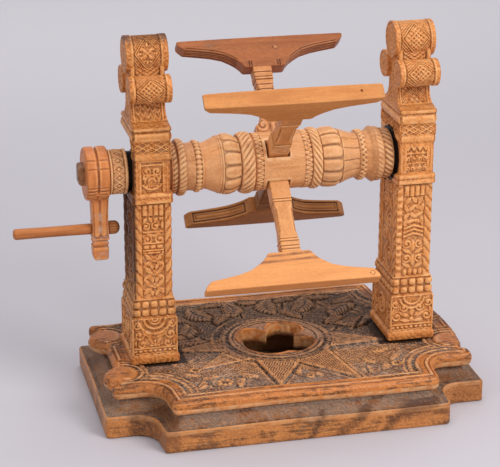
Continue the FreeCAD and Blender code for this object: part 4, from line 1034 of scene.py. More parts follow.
def neck_face(side, a, z):
    """The neck's front: border strips round a field of small triangles on the left post and a cross of double
    lines on the right; slanting flutes and a rounded border between the rolls above."""
    border = vee(np.abs(a) - 14.2, 0.6, 0.8) + vee(np.abs(a) - 11.6, 0.9, 1.2)
    if side < 0:
        chip = ((a + 2.2) % 4.4) - 2.2
        rise = ((z - 280 + 1.2 * np.floor((a + 2.2) / 4.4)) % 5.6) - 2.8
        field = -1.2 + 1.2 * highest([leaf(np.abs(chip), rise, (0.9, 0), (2.7, 1.0), 28),
                                      bead(chip - 2.2 * np.sign(chip), 0.5, 0.6)])
    else:
        arm = np.abs(np.abs(a) / 10.4 - np.abs(z - 291.5) / 9.5)
        chip = np.abs(((a + z) % 5) / 5 - 0.5) + np.abs(((a - z) % 5) / 5 - 0.5)
        field = -1.5 + highest([1.4 * bead(arm, 0.11, 1.0), 1.4 * bead(arm - 0.22, 0.09, 0.9),
                                1.1 * np.clip(chip * 1.6 - 0.5, 0, 1) * (arm > 0.36)])
    flutes = 0.5 - 0.5 * wave((0.75 * a - np.sign(a) * z) / 4.2)
    above = (1.2 * bead(np.abs(a) - 13.4, 2.0, 1.0) + vee(np.abs(a) - 11.0, 0.7, 1.4)
             - (np.abs(a) < 10.4) * 1.4 * flutes)
    return (inside(z, *NECK, 0.6) * (border + inside(np.abs(a), -1, 10.6, 0.4) * field)
            + vee(z - NECK[0] + 1.4, 0.8, 0.7) + (z > 314) * above)


def half_sizes(z):
    """The post's half width and half depth at height z."""
    heights, wide, deep = np.array(STAGES).T
    return np.interp(z, heights, wide), np.interp(z, heights, deep)


def post_face(side, face, a, z):
    """Relief of a post's four faces by height: sunk ground with the motifs in it, and plain frames at 0."""
    front = face in (FRONT, BACK)
    half = half_sizes(z)[0 if front else 1]
    level = sum(bead(z - height, width, high) for height, width, high in MOULDINGS)

    shape = pedestal_front(side, a, z) if front else pedestal_side(a, z)
    panel = inside(np.abs(a), -1, half - 2.2, 0.8) * inside(z, *PEDESTAL, 0.6) * (z < PEDESTAL[1] + 1.2)
    level += panel * (-1.6 + 1.7 * shape) + vee(z - PEDESTAL[1] - 1.4, 1.2, 1.5)
    level += np.where((z > BILLETS[0]) & (z < BILLETS[1]), billets(a, z, half, 5 if front else 7), 0)
    level += np.where((z > SHAFT[0]) & (z < SHAFT[1]), shaft_face(side, front, a, z), 0)
    level += inside(z, *BAND, 0.3) * inside(np.abs(a), -1, half - 1.2, 0.4) * (-1.3 + 1.4 * chip_band(a, z))
    if not front:
        neck = inside(z, 279, 330, 1.0) * inside(np.abs(a), -1, 11, 0.5)
        return level + neck * (-0.8 + 0.8 * lattice(a, z, 5.2))

    # bearing block: plain side strips and a sunk panel, on the right post a little bowed
    in_block = (z > BLOCK[0]) & (z < BLOCK[1])
    if side > 0:
        level += 0.9 * np.cos(np.clip((z - 229) / 30, -0.5, 0.5) * np.pi) * in_block
    shape = block_left(a, z) if side < 0 else block_right(a, z)
    sunk = inside(np.abs(a), -1, 9.4, 0.5) * inside(z, BLOCK[0] + 0.4, BLOCK[1] - 1.4, 0.5)
    level += sunk * (-1.5 + 1.5 * shape) + vee(np.abs(a) - 12.8, 0.5, 0.5) * in_block * (z < BLOCK[1] - 0.5)
    return level + neck_face(side, a, z)


def make_shaft(side):
    """Pedestal and shaft: a loft from the base up to the bearing."""
    z = np.linspace(FOOT_Z, BEARING_Z, 262)
    half_x, half_y = half_sizes(z)
    counts = (80, 72, 50, 96) if side < 0 else (80, 60, 50, 96)
    sheet, level = loft(z, half_x, half_y, counts, 1.3, partial(post_face, side))
    return sheet + (side * POST_X, 0, 0), level


def slot_line(count):
    """Left bearing's open slot, from its back lip forward under the journal, up the front and back along the
    ceiling, as (y, z) about the axle."""
    lip, ceiling, back = 16.0, 35.0, 29.0
    lip_y = math.sqrt(BORE_R ** 2 - lip ** 2)
    low = bow((0, 0), BORE_R, math.degrees(math.atan2(-lip, lip_y)), -180, count)
    return np.concatenate([run((back, -29.5), (lip_y, -lip), 14), low,
                           run((-BORE_R, 0), (-BORE_R, ceiling - 10), 10),
                           bow((-10, ceiling - 10), (BORE_R - 10, 10), 180, 90, 12),
                           run((-10, ceiling), (back, ceiling), 16), [(back, ceiling)]])


def make_bearing(side):
    """Block round the reel's journal. Rows follow the bearing round (a full circle on the right post, an open
    C on the left one), matched to the post's outline by angle; columns run round the section: across the
    outer face, down the inner side, back through the bore and up the other side."""
    low, top, deep = BEARING_Z - AXLE_Z, HEAD_Z - AXLE_Z, 28.5
    front_foot, front_top, back_foot, back_top = (-deep, low), (-deep, top), (deep, low), (deep, top)
    if side < 0:
        inner = slot_line(60)
        count = len(inner)
        foot, brow = 14 + 30, count - 22
        path = np.concatenate([run(back_foot, front_foot, foot), run(front_foot, front_top, brow - foot),
                               run(front_top, back_top, count - brow)])
        spread = np.linspace(0, count - 1, 300)
        inner, outer = [np.stack([np.interp(spread, np.arange(count), line[:, k]) for k in range(2)], -1)
                        for line in (inner, path)]
    else:
        outer = np.concatenate([run(front_foot, front_top, 126), run(front_top, back_top, 50),
                                run(back_top, back_foot, 100), run(back_foot, front_foot, 50)])
        inner = BORE_R * outer / np.linalg.norm(outer, axis=1)[:, None]
    z = outer[:, 1] + AXLE_Z
    half_x, half_y = half_sizes(z)
    on_front, on_back = outer[:, 0] < 0.1 - deep, outer[:, 0] > deep - 0.1
    flat = outer.copy()
    flat[:, 0] = np.where(on_front, -half_y, np.where(on_back, half_y, outer[:, 0] * half_y / deep))
    sheet, level = [], []
    for f in np.linspace(-1, 1, 74):
        a = f * (half_x - 0.9)
        lift = np.where(on_front, post_face(side, FRONT, a, z),
                        np.where(on_back, post_face(side, BACK, -a, z), 0))
        lift = lift - 0.5 * max(0.0, abs(f) - 0.96) / 0.04
        sheet.append(np.stack([a, flat[:, 0] + np.where(on_front, -lift, lift), flat[:, 1]], -1))
        level.append(lift)
    for hand, shares in ((1, np.linspace(0, 1, 18)), (-1, np.linspace(1, 0, 18))):
        for share in shares:
            spot = flat + (inner - flat) * share
            width, _ = half_sizes(spot[:, 1] + AXLE_Z)
            lift = post_face(side, RIGHT if hand > 0 else LEFT, hand * spot[:, 0], spot[:, 1] + AXLE_Z)
            lift = np.where(share < 0.99, np.where(share > 0.02, lift, np.minimum(lift, 0)), 0)
            sheet.append(np.stack([hand * (width + lift), spot[:, 0], spot[:, 1]], -1))
            level.append(lift)
        if hand > 0:
            for f in (0.5, 0.0, -0.5):
                sheet.append(np.stack([f * half_x, inner[:, 0], inner[:, 1]], -1))
                level.append(np.full(len(z), -1.5))
    block = np.array(sheet).transpose(1, 0, 2) + (side * POST_X, 0, AXLE_Z)
    return block, np.array(level).T


def stretches(*parts):
    """Places along a piece, stretch by stretch: from, to and how many."""
    return np.concatenate([np.linspace(*part) for part in parts])


def make_neck(side):
    """Neck from the last moulding up into the top roll."""
    z = stretches((HEAD_Z, 304, 62), (305, POST_TOP - TOP_ROLL_R, 20))
    half_x, half_y = half_sizes(z)
    sheet, level = loft(z, half_x, half_y, (70, 36, 40, 50), 0.9, partial(post_face, side))
    return sheet + (side * POST_X, 0, 0), level


def roll_relief(side, kind, x, arc):
    """Carving round a roll: plain end bands between incised lines, and a diamond filled with petals or a
    woven mesh, with rays in the corners."""
    end = ROLL_X - {("top", -1): 7.2, ("top", 1): 5.2}.get((kind, side), 5.8)
    tall = TOP_ROLL_R if kind == "top" else LOW_ROLL_R - 0.3
    q = diamond(x, arc, end - 0.6, tall)
    ring = np.maximum(bead(q - 0.97, 0.07, 1), bead(q - 0.80, 0.05, 0.9))
    if kind == "top" and side < 0:
        petal = highest([leaf(np.abs(x), np.abs(arc), (3.0, 3.4), (3.8, 1.6), 40),
                         pebble(x, arc, (0, 0), 1.4, 1.4), leaf(x, np.abs(arc), (0, 9.4), (3.0, 1.5), 0),
                         leaf(np.abs(x), arc, (7.0, 0), (1.4, 2.6), 0),
                         pebble(np.abs(x), np.abs(arc), (2.6, 7.6), 1.0, 1.0),
                         pebble(np.abs(x), np.abs(arc), (5.6, 3.6), 1.0, 1.0)])
    else:
        petal = lattice(x, arc, 4.6)
    rays = 0.5 + 0.5 * wave((q - 0.97) / (0.21 if kind == "top" else 0.27))
    rays = rays * (0.72 + 0.28 * wave((np.abs(x) - 0.6 * np.abs(arc)) / 2.2))
    field = np.where(q < 0.76, petal, np.where(q > 1.03, rays, 0))
    level = (-1.5 + 1.5 * np.maximum(ring, field * 0.85)) * inside(np.abs(x), -1, end - 0.4, 0.3)
    level = level + vee(np.abs(x) - end, 0.7, 1.3) + vee(np.abs(x) - end - 1.8, 0.35, 0.4) * (kind == "top")
    return np.where(np.abs(arc) < 30, level, -0.8 * (np.abs(x) < end))


def about_x(x, radius, turn, at_y, at_z):
    """Points at an angle round a line along X: the cosine goes to Y and the sine to Z."""
    ring = np.broadcast_arrays(x, at_y + radius * np.cos(turn), at_z + radius * np.sin(turn))
    return np.stack(ring, -1)


def make_roll(side, kind, radius, at_y, at_z, facing):
    """Roll across the head: columns go round it and rows from the middle of one end disc, over the surface,
    to the other. facing is the angle of its carved middle, in degrees from +Y towards +Z."""
    turn = np.linspace(0, 2 * np.pi, 150 if kind == "top" else 120, endpoint=False)
    arc = ((turn - math.radians(facing) + np.pi) % (2 * np.pi) - np.pi) * radius
    rows = []
    disc = [0.06, 0.2, 0.34, 0.48, 0.6, 0.7, 0.78, 0.86, 0.93, 0.97]
    for share in disc:
        cut = 0.7 * (0.5 - 0.5 * wave(share * radius / 4.2)) * (share < 0.9) * (0.8 + 0.2 * np.cos(turn * 12))
        rows.append((-ROLL_X + 0.25 + cut, share * radius, -cut))
    for x in np.linspace(-ROLL_X + 0.35, ROLL_X - 0.35, 74 if kind == "top" else 66):
        lift = roll_relief(side, kind, x, arc) - 0.35 * max(0.0, abs(x) - ROLL_X + 0.9)
        rows.append((x, radius + lift, lift))
    rows += [(-x, r, lift) for x, r, lift in rows[:len(disc)][::-1]]
    sheet = np.stack([about_x(x, r, turn, at_y, at_z) for x, r, lift in rows])
    level = np.array([np.broadcast_to(lift, turn.shape) for x, r, lift in rows])
    return sheet + (side * POST_X, 0, 0), level


def post_shade_and_dirt(side, x, y, z):
    """The left post's outer side faces away from the light and is painted nearly black as shade; the tops are
    darker, most on the left post, the neck a little; and a dark band at the foot is a painted contact shadow.
    """
    # painted shade on the left post's outer side, which faces away from the light
    outer = np.clip((-POST_X - 14 - x) / 2.5, 0, 1) * (side < 0)
    outer = outer * np.interp(z, [47, 92, 118, 150, 240, 262, 354], [0.3, 0.4, 0.8, 1.3, 1.3, 0.35, 0.15])
    top = np.clip((z - (POST_TOP - 9)) / 9, 0, 1) * (1.1 if side < 0 else 0.3)
    neck = 0.12 * inside(z, HEAD_Z, POST_TOP - 10, 6.0)
    # the foot band is a painted contact shadow on the base
    return np.maximum.reduce([outer, top, neck, 0.35 * inside(z, BASE_TOP - 1, BASE_TOP + 3, 1.5)])


def bore(side, x, y, z):
    """The bearing's bore, and round the right journal a ring of the post's face: both painted black as shade.
    """
    return np.hypot(y, z - AXLE_Z) < (20.4 if side < 0 else 26.5)


post_wood = {
    -1: wood("left_post_wood", light=(0.74, 0.27, 0.066), dark=(0.52, 0.165, 0.038),
             stain_and_shade=(0.092, 0.028, 0.007), worn=(0.86, 0.43, 0.16), dust=(0.55, 0.36, 0.22), dusty=0.35,
             blotch=0.25, rub=0.8, deep=0.5, chisel=0.7),
    1: wood("right_post_wood", light=(0.81, 0.312, 0.082), dark=(0.58, 0.193, 0.048),
            stain_and_shade=(0.125, 0.038, 0.009), worn=(0.88, 0.46, 0.185), dust=(0.58, 0.40, 0.26), dusty=0.35,
            blotch=0.2, rub=0.8, deep=0.52, chisel=0.7),
}
# near-black wood that paints shade: the bearings' bores, the ring round the right journal and the journals
painted_shade_wood = wood("painted_shade_wood", light=(0.030, 0.017, 0.010), dark=(0.016, 0.010, 0.007),
                stain_and_shade=(0.01, 0.007, 0.005), worn=(0.05, 0.03, 0.018), dusty=0.0, gloss=0.1)
for side, post in ((-1, "post_left"), (1, "post_right")):
    pieces = [("shaft", make_shaft(side), False), ("bearing", make_bearing(side), side > 0),
              ("neck", make_neck(side), False),
              ("top_roll", make_roll(side, "top", TOP_ROLL_R, 0, POST_TOP - TOP_ROLL_R, 168), False),
              ("front_roll", make_roll(side, "low", LOW_ROLL_R, -LOW_ROLL_Y, LOW_ROLL_Z, 172), False),
              ("back_roll", make_roll(side, "low", LOW_ROLL_R, LOW_ROLL_Y, LOW_ROLL_Z, 8), False)]
    for part, (sheet, level), ring in pieces:
        piece = sheet_piece(post + "_" + part, sheet, level, "stand", post_wood[side], "post_wood", [post],
                            ring=ring, shade_and_dirt=partial(post_shade_and_dirt, side))
        if part == "bearing":
            refinish(piece, painted_shade_wood, partial(bore, side))


# ---------------- drum
# The reel's body, turned from one light piece: roped rings, beads and gadrooned bulbs either side of a plain
# middle, mortises for the four arms, a collar outside the left post and a square end for the crank.

COLLAR_IN, COLLAR_OUT, COLLAR_R = 144.5, 162.0, 20.6
AXLE_TIP, AXLE_SQ = 188.5, 17.5
ROUND_MIDDLE = 25.0
MORTISE_HALF_X, MORTISE_HALF, MORTISE_FLOOR = 10.9, 9.0, 19.0
REEL_TILT = 46.2
# name, quarter turns from the top front arm, the arm's and the bar's middles along X, scrolled root
ARMS = (("top_front", 0, -6.0, -9.5, False), ("top_back", 1, -1.5, 1.5, True),
        ("bottom_back", 2, 3.0, 9.0, True), ("bottom_front", 3, -5.5, -8.0, False))
# turned profile: place along X and radius
TURNED = ((-144.4, 18.2), (-138.8, 18.2), (-138.2, 19.95), (-105.1, 19.95), (-105, 23.2), (-103, 24.0),
          (-100.6, 24.0), (-99.5, 22.6), (-99.0, 22.6), (-98.7, 24.6), (-91.8, 24.2), (-91.5, 22.4),
          (-87, 22.0), (-83, 22.5), (-82.7, 22.2), (-77.2, 22.0), (-76.6, 22.6), (-75.2, 22.4), (-74.6, 21.0),
          (-70, 22.2), (-65, 24.4), (-61.0, 26.0), (-60.6, 26.7), (-57.4, 27.2), (-57, 27.0), (-55, 27.7),
          (-50, 27.6), (-45, 26.0), (-41.6, 23.9), (-40.6, 24.2), (-40, 26.0), (-28.4, 26.6), (-27.8, 25.4),
          (-27.0, 25.4), (-26.7, 27.1), (-19.9, 27.1), (-19.5, 26.8), (0, 26.9), (18.3, 26.8), (18.7, 27.2),
          (25.9, 27.2), (26.2, 25.3), (26.6, 26.2), (35.4, 26.0), (35.9, 24.6), (37, 25.6), (41, 27.1),
          (46, 27.6), (51, 27.5), (52.8, 26.6), (57, 25.6), (63, 23.2), (69, 21.4), (72.6, 21.4), (73, 22.4),
          (79.8, 22.2), (80.6, 21.6), (84, 23.0), (86.6, 25.4), (88, 26.3), (88.7, 25.0), (89.2, 24.4),
          (95.4, 24.2), (95.8, 22.8), (96.3, 23.2), (98, 24.0), (103, 23.8), (105, 23.0), (105.1, 19.95),
          (140, 19.95))


def drum_relief(x, turn):
    """Carving by place along the drum and angle about it: strokes and ropes slant with the angle, panels and
    pearls repeat round it."""
    arc = turn * ROUND_MIDDLE

    def ring(low, high):
        """1 within a ring's width."""
        return (x > low) & (x < high)

    def strands(middle, half, count, slant, high):
        """Rope ring: a half-round ring cut by slanting grooves."""
        phase = (turn * count / (2 * np.pi) + slant * (x - middle) / half) % 1 * 2 - 1
        dome = np.sqrt(np.clip(1 - ((x - middle) / half) ** 2, 0, 1))
        return high * dome * (0.35 + 0.65 * np.sqrt(np.clip(1 - phase ** 2, 0, 1)))

    level = ring(-104.4, -99.9) * -0.9 * (0.5 + 0.5 * wave(arc / 5.2 + x * 0.16)) ** 2
    level += ring(96.6, 104.4) * -0.8 * (0.5 + 0.5 * wave(arc / 5.6 - x * 0.14)) ** 2
    for rope_ring in ((-95.2, 3.7, 34, 0.5, 2.1), (92.3, 3.4, 34, -0.5, 1.4), (-34.2, 6.1, 26, 1.1, 2.6),
                      (31.0, 4.8, 26, -1.1, 2.9)):
        level += strands(*rope_ring)
    pearl = (arc / 5.0) % 1 * 2 - 1
    level += 2.3 * np.sqrt(np.clip(1 - ((x + 79.9) / 2.9) ** 2 - pearl ** 2 * 0.75, 0, 1))
    level -= 0.5 * ring(-59.5, -58.5)

    # zigzag ring
    zig = np.abs((arc / 5.4) % 1 - 0.5) * 4 - 1
    level += ring(73.1, 79.8) * (0.4 + 1.3 * np.sqrt(np.clip(1 - ((x - 76.4 - 1.6 * zig) / 1.6) ** 2, 0, 1)))

    # gadrooned panels: round-ended tongues that stand in a sunk band, with a groove along each
    gadroons = turn * 13 / (2 * np.pi)
    for low, high in ((-57.4, -41.0), (36.4, 55.6)):
        panel = np.abs((gadroons + 0.25) % 1 * 2 - 1)
        past = np.clip((low + 7.4 - x) if low < 0 else (x - high + 7.4), 0, None) / 7.0
        tongues = np.clip(1 - (panel / 0.93) ** 3 - past ** 2, 0, 1) ** 0.5
        level += ring(low, high) * (-0.75 + 1.6 * tongues)
    facet = gadroons % 1 * 2 - 1
    level += ring(55.6, 72.4) * (-0.7 * np.clip(1 - (1 - np.abs(facet)) / 0.1, 0, 1) - 0.35 * facet ** 2)

    # chip bands: small triangles and dots either side of the plain middle
    for low, high in ((-26.6, -19.9), (18.8, 25.9)):
        chip = np.abs((arc / 4.4) % 1 - 0.5) * 2
        share = (x - low) / (high - low)
        level -= ring(low, high) * np.clip(1 - np.abs(chip - share * 0.9) / 0.28, 0, 1) ** 0.7
        level += vee(x - low - 0.4, 0.5, 0.5) + vee(x - high + 0.4, 0.5, 0.5)
    return level


def arm_place(sheet, turns):
    """Turns a piece built upright about the axle (x, across, out) to its quarter turn, then lifts it."""
    angle = math.radians(REEL_TILT - 90 * turns)
    c, s = math.cos(angle), math.sin(angle)
    x, across, out = sheet[..., 0], sheet[..., 1], sheet[..., 2]
    return np.stack([x, across * c - out * s, AXLE_Z + across * s + out * c], -1)


def make_drum():
    """Rows along X and columns round the axle. The radius is the turned profile plus its carving, cut down
    inside each arm's mortise, which is square to that arm. The bottom front arm's mortise was cut too
    long."""
    marks, radii = np.array(TURNED).T
    x = np.concatenate([np.linspace(-144.4, -105.2, 9), [-138.8, -138.2], np.linspace(-105.1, 105.1, 400),
                        np.linspace(105.2, 140, 6)])
    x = np.unique(np.concatenate([x, marks[(marks > -106) & (marks < 106)]]))[:, None]
    turn = np.linspace(0, 2 * np.pi, 190, endpoint=False)[None, :]
    level = drum_relief(x, turn)
    radius = np.interp(x, marks, radii) + level
    for name, turns, arm_x, _, _ in ARMS:
        lean = math.radians(REEL_TILT - 90 * turns)
        out, across = np.cos(turn - lean), np.sin(turn - lean) * radius
        below = MORTISE_HALF * 1.5 if name == "bottom_front" else MORTISE_HALF
        hole = (np.abs(x - arm_x) < MORTISE_HALF_X) & (out > 0) & (across > -MORTISE_HALF) & (across < below)
        # the mortises' faces get a sunk level of 4 mm, which stains them dark: painted shade in the gaps
        # beside the arms
        level = np.where(hole, -4.0, level)
        radius = np.where(hole, np.minimum(radius, MORTISE_FLOOR / np.maximum(out, 0.5)), radius)
    return np.stack([x + 0 * turn, -radius * np.sin(turn), AXLE_Z + radius * np.cos(turn)], -1), level


def make_collar():
    """Collar with a chain of diamonds between two smooth rings: rows from one face over the rim to the
    other."""
    turn = np.linspace(0, 2 * np.pi, 150, endpoint=False)[None, :]
    x = np.linspace(-COLLAR_OUT + 0.1, -COLLAR_IN - 0.1, 46)[:, None]
    off = np.abs(x + (COLLAR_IN + COLLAR_OUT) / 2)
    q = off / 4.7 + np.abs((turn * 21 / 8.8) % 1 - 0.5) * 2
    chain = highest([bead(q - 1, 0.2, 1.0), np.clip(1 - q * 2.4, 0, 1) ** 0.5, bead(q - 1.5, 0.15, 0.8)])
    level = np.where(off < 5.3, -1.1 + 1.2 * chain, 0.35 * bead(off - 7.1, 1.5, 1)) + vee(off - 5.6, 0.6, 0.9)
    radius = COLLAR_R + level - 0.8 * np.clip(off - 7.9, 0, 1)
    face = np.outer((0.3, 0.7, 0.93), 0 * turn + COLLAR_R - 0.3)
    x = np.concatenate([0 * face - COLLAR_OUT, x + 0 * turn, 0 * face - COLLAR_IN])
    radius = np.concatenate([face, radius, face[::-1]])
    return about_x(x, radius, turn, 0, AXLE_Z), np.pad(level, ((3, 3), (0, 0)))


def make_axle_end():
    """Square end with softened edges and a slightly domed, worn tip: a loft along X."""
    x = np.concatenate([np.linspace(-COLLAR_OUT, -AXLE_TIP + 1.4, 6),
                        -AXLE_TIP + 1.2 * (1 - np.sin([0.4, 0.9, 1.57]))])
    half = AXLE_SQ / 2 - 0.9 * np.clip(-AXLE_TIP + 1.3 - x, 0, None)
    sheet, level = loft(x, half, half, (9, 9, 9, 9), 1.2, lambda face, a, rise: np.zeros_like(a))
    return np.stack([sheet[..., 2], sheet[..., 0], sheet[..., 1] + AXLE_Z], -1), level


def drum_shade_and_dirt(x, y, z):
    """Clean in the middle, browner towards both ends and at the right; painted black as shade at the
    journal's open gap outside the left post and along the collar's outer edge against the crank; and dark at
    the worn square end."""
    # painted shade in the journal's open gap outside the left post
    gap = 1.6 * np.clip((-137.0 - x) / 1.5, 0, 1) * np.clip((x + COLLAR_IN + 0.3) / 0.2, 0, 1)
    right = 0.12 * np.clip((x - 30) / 20, 0, 1)
    ropes = 0.3 * np.clip((np.abs(x) - 74) / 20, 0, 1) * (np.abs(x) < 106)
    # painted shade line where the collar meets the crank
    edge = 1.3 * inside(x, -COLLAR_OUT - 1, -COLLAR_OUT + 0.7, 0.3)
    return np.maximum.reduce([gap, right, ropes, edge, 0.95 * (x < -COLLAR_OUT - 1)])


def in_bearings(x, y, z):
    """The journals inside the bearings, painted black as shade."""
    return (x < -137.6) | (x > 104.9)


drum_wood = wood("drum_wood", light=(0.86, 0.42, 0.178), dark=(0.58, 0.24, 0.087),
                 stain_and_shade=(0.105, 0.042, 0.018), worn=(0.88, 0.53, 0.26), dust=(0.62, 0.42, 0.28), dusty=0.3,
                 blotch=0.2, rub=0.7, deep=0.64, chisel=0.22, grain="x")
for part, (sheet, level) in (("turning", make_drum()), ("collar", make_collar()),
                             ("axle_end", make_axle_end())):
    piece = sheet_piece("reel_" + part, sheet, level, "reel", drum_wood, "drum_wood", ["reel_drum"],
                        shade_and_dirt=drum_shade_and_dirt)
    if part == "turning":
        refinish(piece, painted_shade_wood, in_bearings)


# ---------------- arms
# Four square arms stub-tenoned into the drum, with a square foot and head, stepped beads and a bevelled
# middle. The two back arms widen at the root into a scroll that sits over the drum.

ARM_X, ARM_T = 9.0, 7.5
ROOT_IN, ROOT_OUT = 26.2, 44.5
BAR_OUT_R = 127.5
# cuts right across an arm besides its fillets, by distance from the axle
ARM_CUTS = {"top_front": (30.5, 33.5, 36.5, 39.5), "top_back": (57, 62, 67, 72, 77, 90), "bottom_back": (90,),
            "bottom_front": (89.5, 92.6)}


def arm_relief(name, face, a, z):
    """Fillets near both ends, long bevels with V-shaped ends between them, and the arm's own cuts."""
    level = bead(z - 43.9, 1.0, 0.5) + bead(z - 83.6, 1.0, 0.5)
    fillets = ((42.6, 0.7, 1.0), (45.2, 0.6, 0.8), (82.2, 0.7, 0.9), (85.0, 0.6, 0.8))
    for at, width, deep in fillets + tuple((at, 0.9, 1.1) for at in ARM_CUTS[name]):
        level += vee(z - at, width, deep)
    half = ARM_X if face in (FRONT, BACK) else ARM_T
    tip = np.minimum(np.clip((z - 47.0) / 6.0, 0, 1), np.clip((80.5 - z) / 6.0, 0, 1))
    bevel = np.clip((np.abs(a) - half + 3.6 * tip) / 2.0, 0, 1) * (tip > 0)
    return level - 1.3 * bevel + vee(np.abs(a) - half + 4.2, 0.5, 0.4) * (tip > 0.9)


def make_arm(name):
    """Loft along the arm from the mortise's floor to the bar."""
    out = stretches((19.2, 28, 5), (28.6, 48, 52), (48.6, 79.6, 66), (80, 96.5, 44))
    half_x = np.interp(out, (19, 41, 47, 81, 86, 97), (ARM_X, ARM_X, ARM_X - 0.6, ARM_X - 0.6, ARM_X, ARM_X))
    half_t = half_x - (ARM_X - ARM_T)
    return loft(out, half_x, half_t, (26, 22, 26, 22), 0.9, partial(arm_relief, name))


def make_root():
    """Scrolled root: a plate that saddles the drum, its sides swept in to the arm, with a volute each side.
    Each row runs round the plate at one distance out; its lower edge follows the drum's curve."""
    rise = np.linspace(0, 1, 46)
    width = np.interp(rise, (0, 0.2, 0.42, 0.6, 0.8, 1.0), (17, 17.2, 16.2, 12.5, 10.0, 9.4))
    thick = np.interp(rise, (0, 0.5, 1), (9.0, 8.6, 7.8))

    def relief(face, a, z):
        """Two volutes facing out, on both broad faces."""
        if face in (RIGHT, LEFT):
            return np.zeros_like(a)
        volutes = [curl(a, z * 19, (hand * 9.6, 8), 7.2, hand, 1.4, 0.2) for hand in (-1, 1)]
        return -1.1 + 1.2 * highest(volutes + [bead(a, 2.2, 0.9)])

    sheet, level = loft(rise, width, thick, (56, 18, 56, 18), 1.4, relief)
    floor = np.sqrt(np.clip(ROOT_IN ** 2 - sheet[..., 1] ** 2, 0, None))
    sheet[..., 2] = floor + sheet[..., 2] * (ROOT_OUT - floor)
    return sheet, level


# each arm's wood: brown, red, nearly black and pale; the bottom back arm's near-black is partly painted shade
# the top front arm's pale worn colour lights the ridges between its cuts: partly wear, partly a painted
# highlight in the arm's shade
ARM_TONES = {"top_front": dict(light=(0.74, 0.295, 0.090), dark=(0.46, 0.172, 0.052),
                               stain_and_shade=(0.10, 0.036, 0.015), worn=(0.95, 0.56, 0.28)),
             "top_back": dict(light=(0.64, 0.27, 0.10), dark=(0.44, 0.165, 0.058), stain_and_shade=(0.15, 0.05, 0.02),
                              worn=(0.80, 0.42, 0.20)),
             # the bottom back arm's near-black tone is partly its dark wood and partly painted shade, for it
             # hangs in the shade under the drum
             "bottom_back": dict(light=(0.34, 0.14, 0.048), dark=(0.20, 0.08, 0.028),
                                 stain_and_shade=(0.07, 0.028, 0.013), worn=(0.46, 0.20, 0.08)),
             "bottom_front": dict(light=(0.78, 0.36, 0.14), dark=(0.60, 0.25, 0.085),
                                  stain_and_shade=(0.28, 0.10, 0.034), worn=(0.86, 0.47, 0.20))}
ARM_SLOTS = {"top_front": "honey_wood", "top_back": "red_wood", "bottom_back": "dark_wood",
             "bottom_front": "honey_wood"}
for name, turns, arm_x, bar_x, scrolled in ARMS:
    lean = -math.radians(REEL_TILT - 90 * turns)
    arm_wood = wood("arm_wood_" + name, **ARM_TONES[name], dusty=0.2, blotch=0.3, rub=0.6, deep=0.8,
                    chisel=0.18, turn=lean)
    for part, (sheet, level) in [("blade", make_arm(name))] + [("root", make_root())] * scrolled:
        sheet_piece("arm_%s_%s" % (name, part), arm_place(sheet + (arm_x, 0, 0), turns), level, "reel",
                    arm_wood, ARM_SLOTS[name], ["arm_" + name])


# ---------------- crossbars
# Four crossbars, one on each arm, that the work is wound on: a flat outer face, a thick middle hollowed out
# to thin wings with worn chamfered ends. Each was cut from a different board, from honey to nearly black.

BAR_HALF, BAR_T = 80.8, 8.0
# how far the inner edge stands below the outer face, by distance from the bar's middle
BAR_DEPTHS = ((0, 32), (18.6, 32), (20.2, 31.2), (22, 28.4), (26, 24.2), (31, 20.7), (38, 16.6), (49.4, 13.4),
              (60, 11.6), (74.4, 9.5), (75.6, 9.0), (80.2, 4.6), (80.8, 3.6))


def make_bar(name):
    """Loft along X. At each place the section is a rounded rectangle from the outer face in by the bar's
    depth there, a little thinner to the ends. The two old bars' wings are moulded along the inner edge."""
    x = stretches((-BAR_HALF, -74, 16), (-73, -22, 46), (-21.5, 21.5, 40), (22, 73, 46), (74, BAR_HALF, 16))
    depth = np.interp(np.abs(x), *np.array(BAR_DEPTHS).T)
    thick = BAR_T - 0.8 * (x / BAR_HALF) ** 2 - 0.7 * np.clip((np.abs(x) - 77) / 3.8, 0, 1) ** 2

    def relief(face, a, z):
        """Across a face, a runs from one edge to the other; z is the place along the bar."""
        level = np.zeros_like(a)
        wing = np.clip((np.abs(z) - 24) / 3, 0, 1) * np.clip((74.5 - np.abs(z)) / 1.5, 0, 1)
        if face == BACK and name == "bottom_back":
            edge = np.maximum(np.abs(a) - 4.6, np.abs(np.abs(z) - 49) - 24.5)
            level += (np.abs(z) > 22) * (vee(edge, 0.9, 1.2) + vee(edge + 2.6, 0.7, 0.8) - 0.3 * (edge < 0))
        if face == BACK and name == "top_back":
            level += wing * (vee(np.abs(a) - 1.2, 0.9, 1.3) + vee(np.abs(a) - 5.0, 0.9, 1.3))
        if face == FRONT and name == "top_front":
            level -= 1.8 * (np.hypot(a - 0.8, z - 60.5) < 1.0)
        if face in (FRONT, BACK):
            return level
        under = (depth / 2)[:, None] + (a if face == RIGHT else -a)
        if name == "bottom_back":
            level += wing * vee(depth[:, None] - under - 2.6, 0.6, 0.9)
        if name == "top_back":
            level += wing * vee(depth[:, None] - under - 1.8, 0.6, 0.9)
            for at in (12.5, 15.0, 17.5):
                level += vee(np.abs(z) - at, 0.7, 1.0) * (under > 25)
        peg = {"top_back": (13.0, 12.0, 2.6), "bottom_front": (74.0, 4.6, 2.0)}.get(name)
        if peg:
            ring = np.hypot(z - peg[0], under - peg[1]) - peg[2]
            level += vee(ring, 0.6, 0.6) + 0.25 * (ring < -0.5)
        return level

    sheet, level = loft(x, thick, depth / 2, (20, 34, 20, 34), 1.1, relief)
    across, height = sheet[..., 0], sheet[..., 1]
    out = BAR_OUT_R - depth[:, None] / 2 - height
    level = level - 0.4 * np.clip((np.abs(sheet[..., 2]) - 77) / 4, 0, 1)
    return np.stack([sheet[..., 2], across, out], -1), level


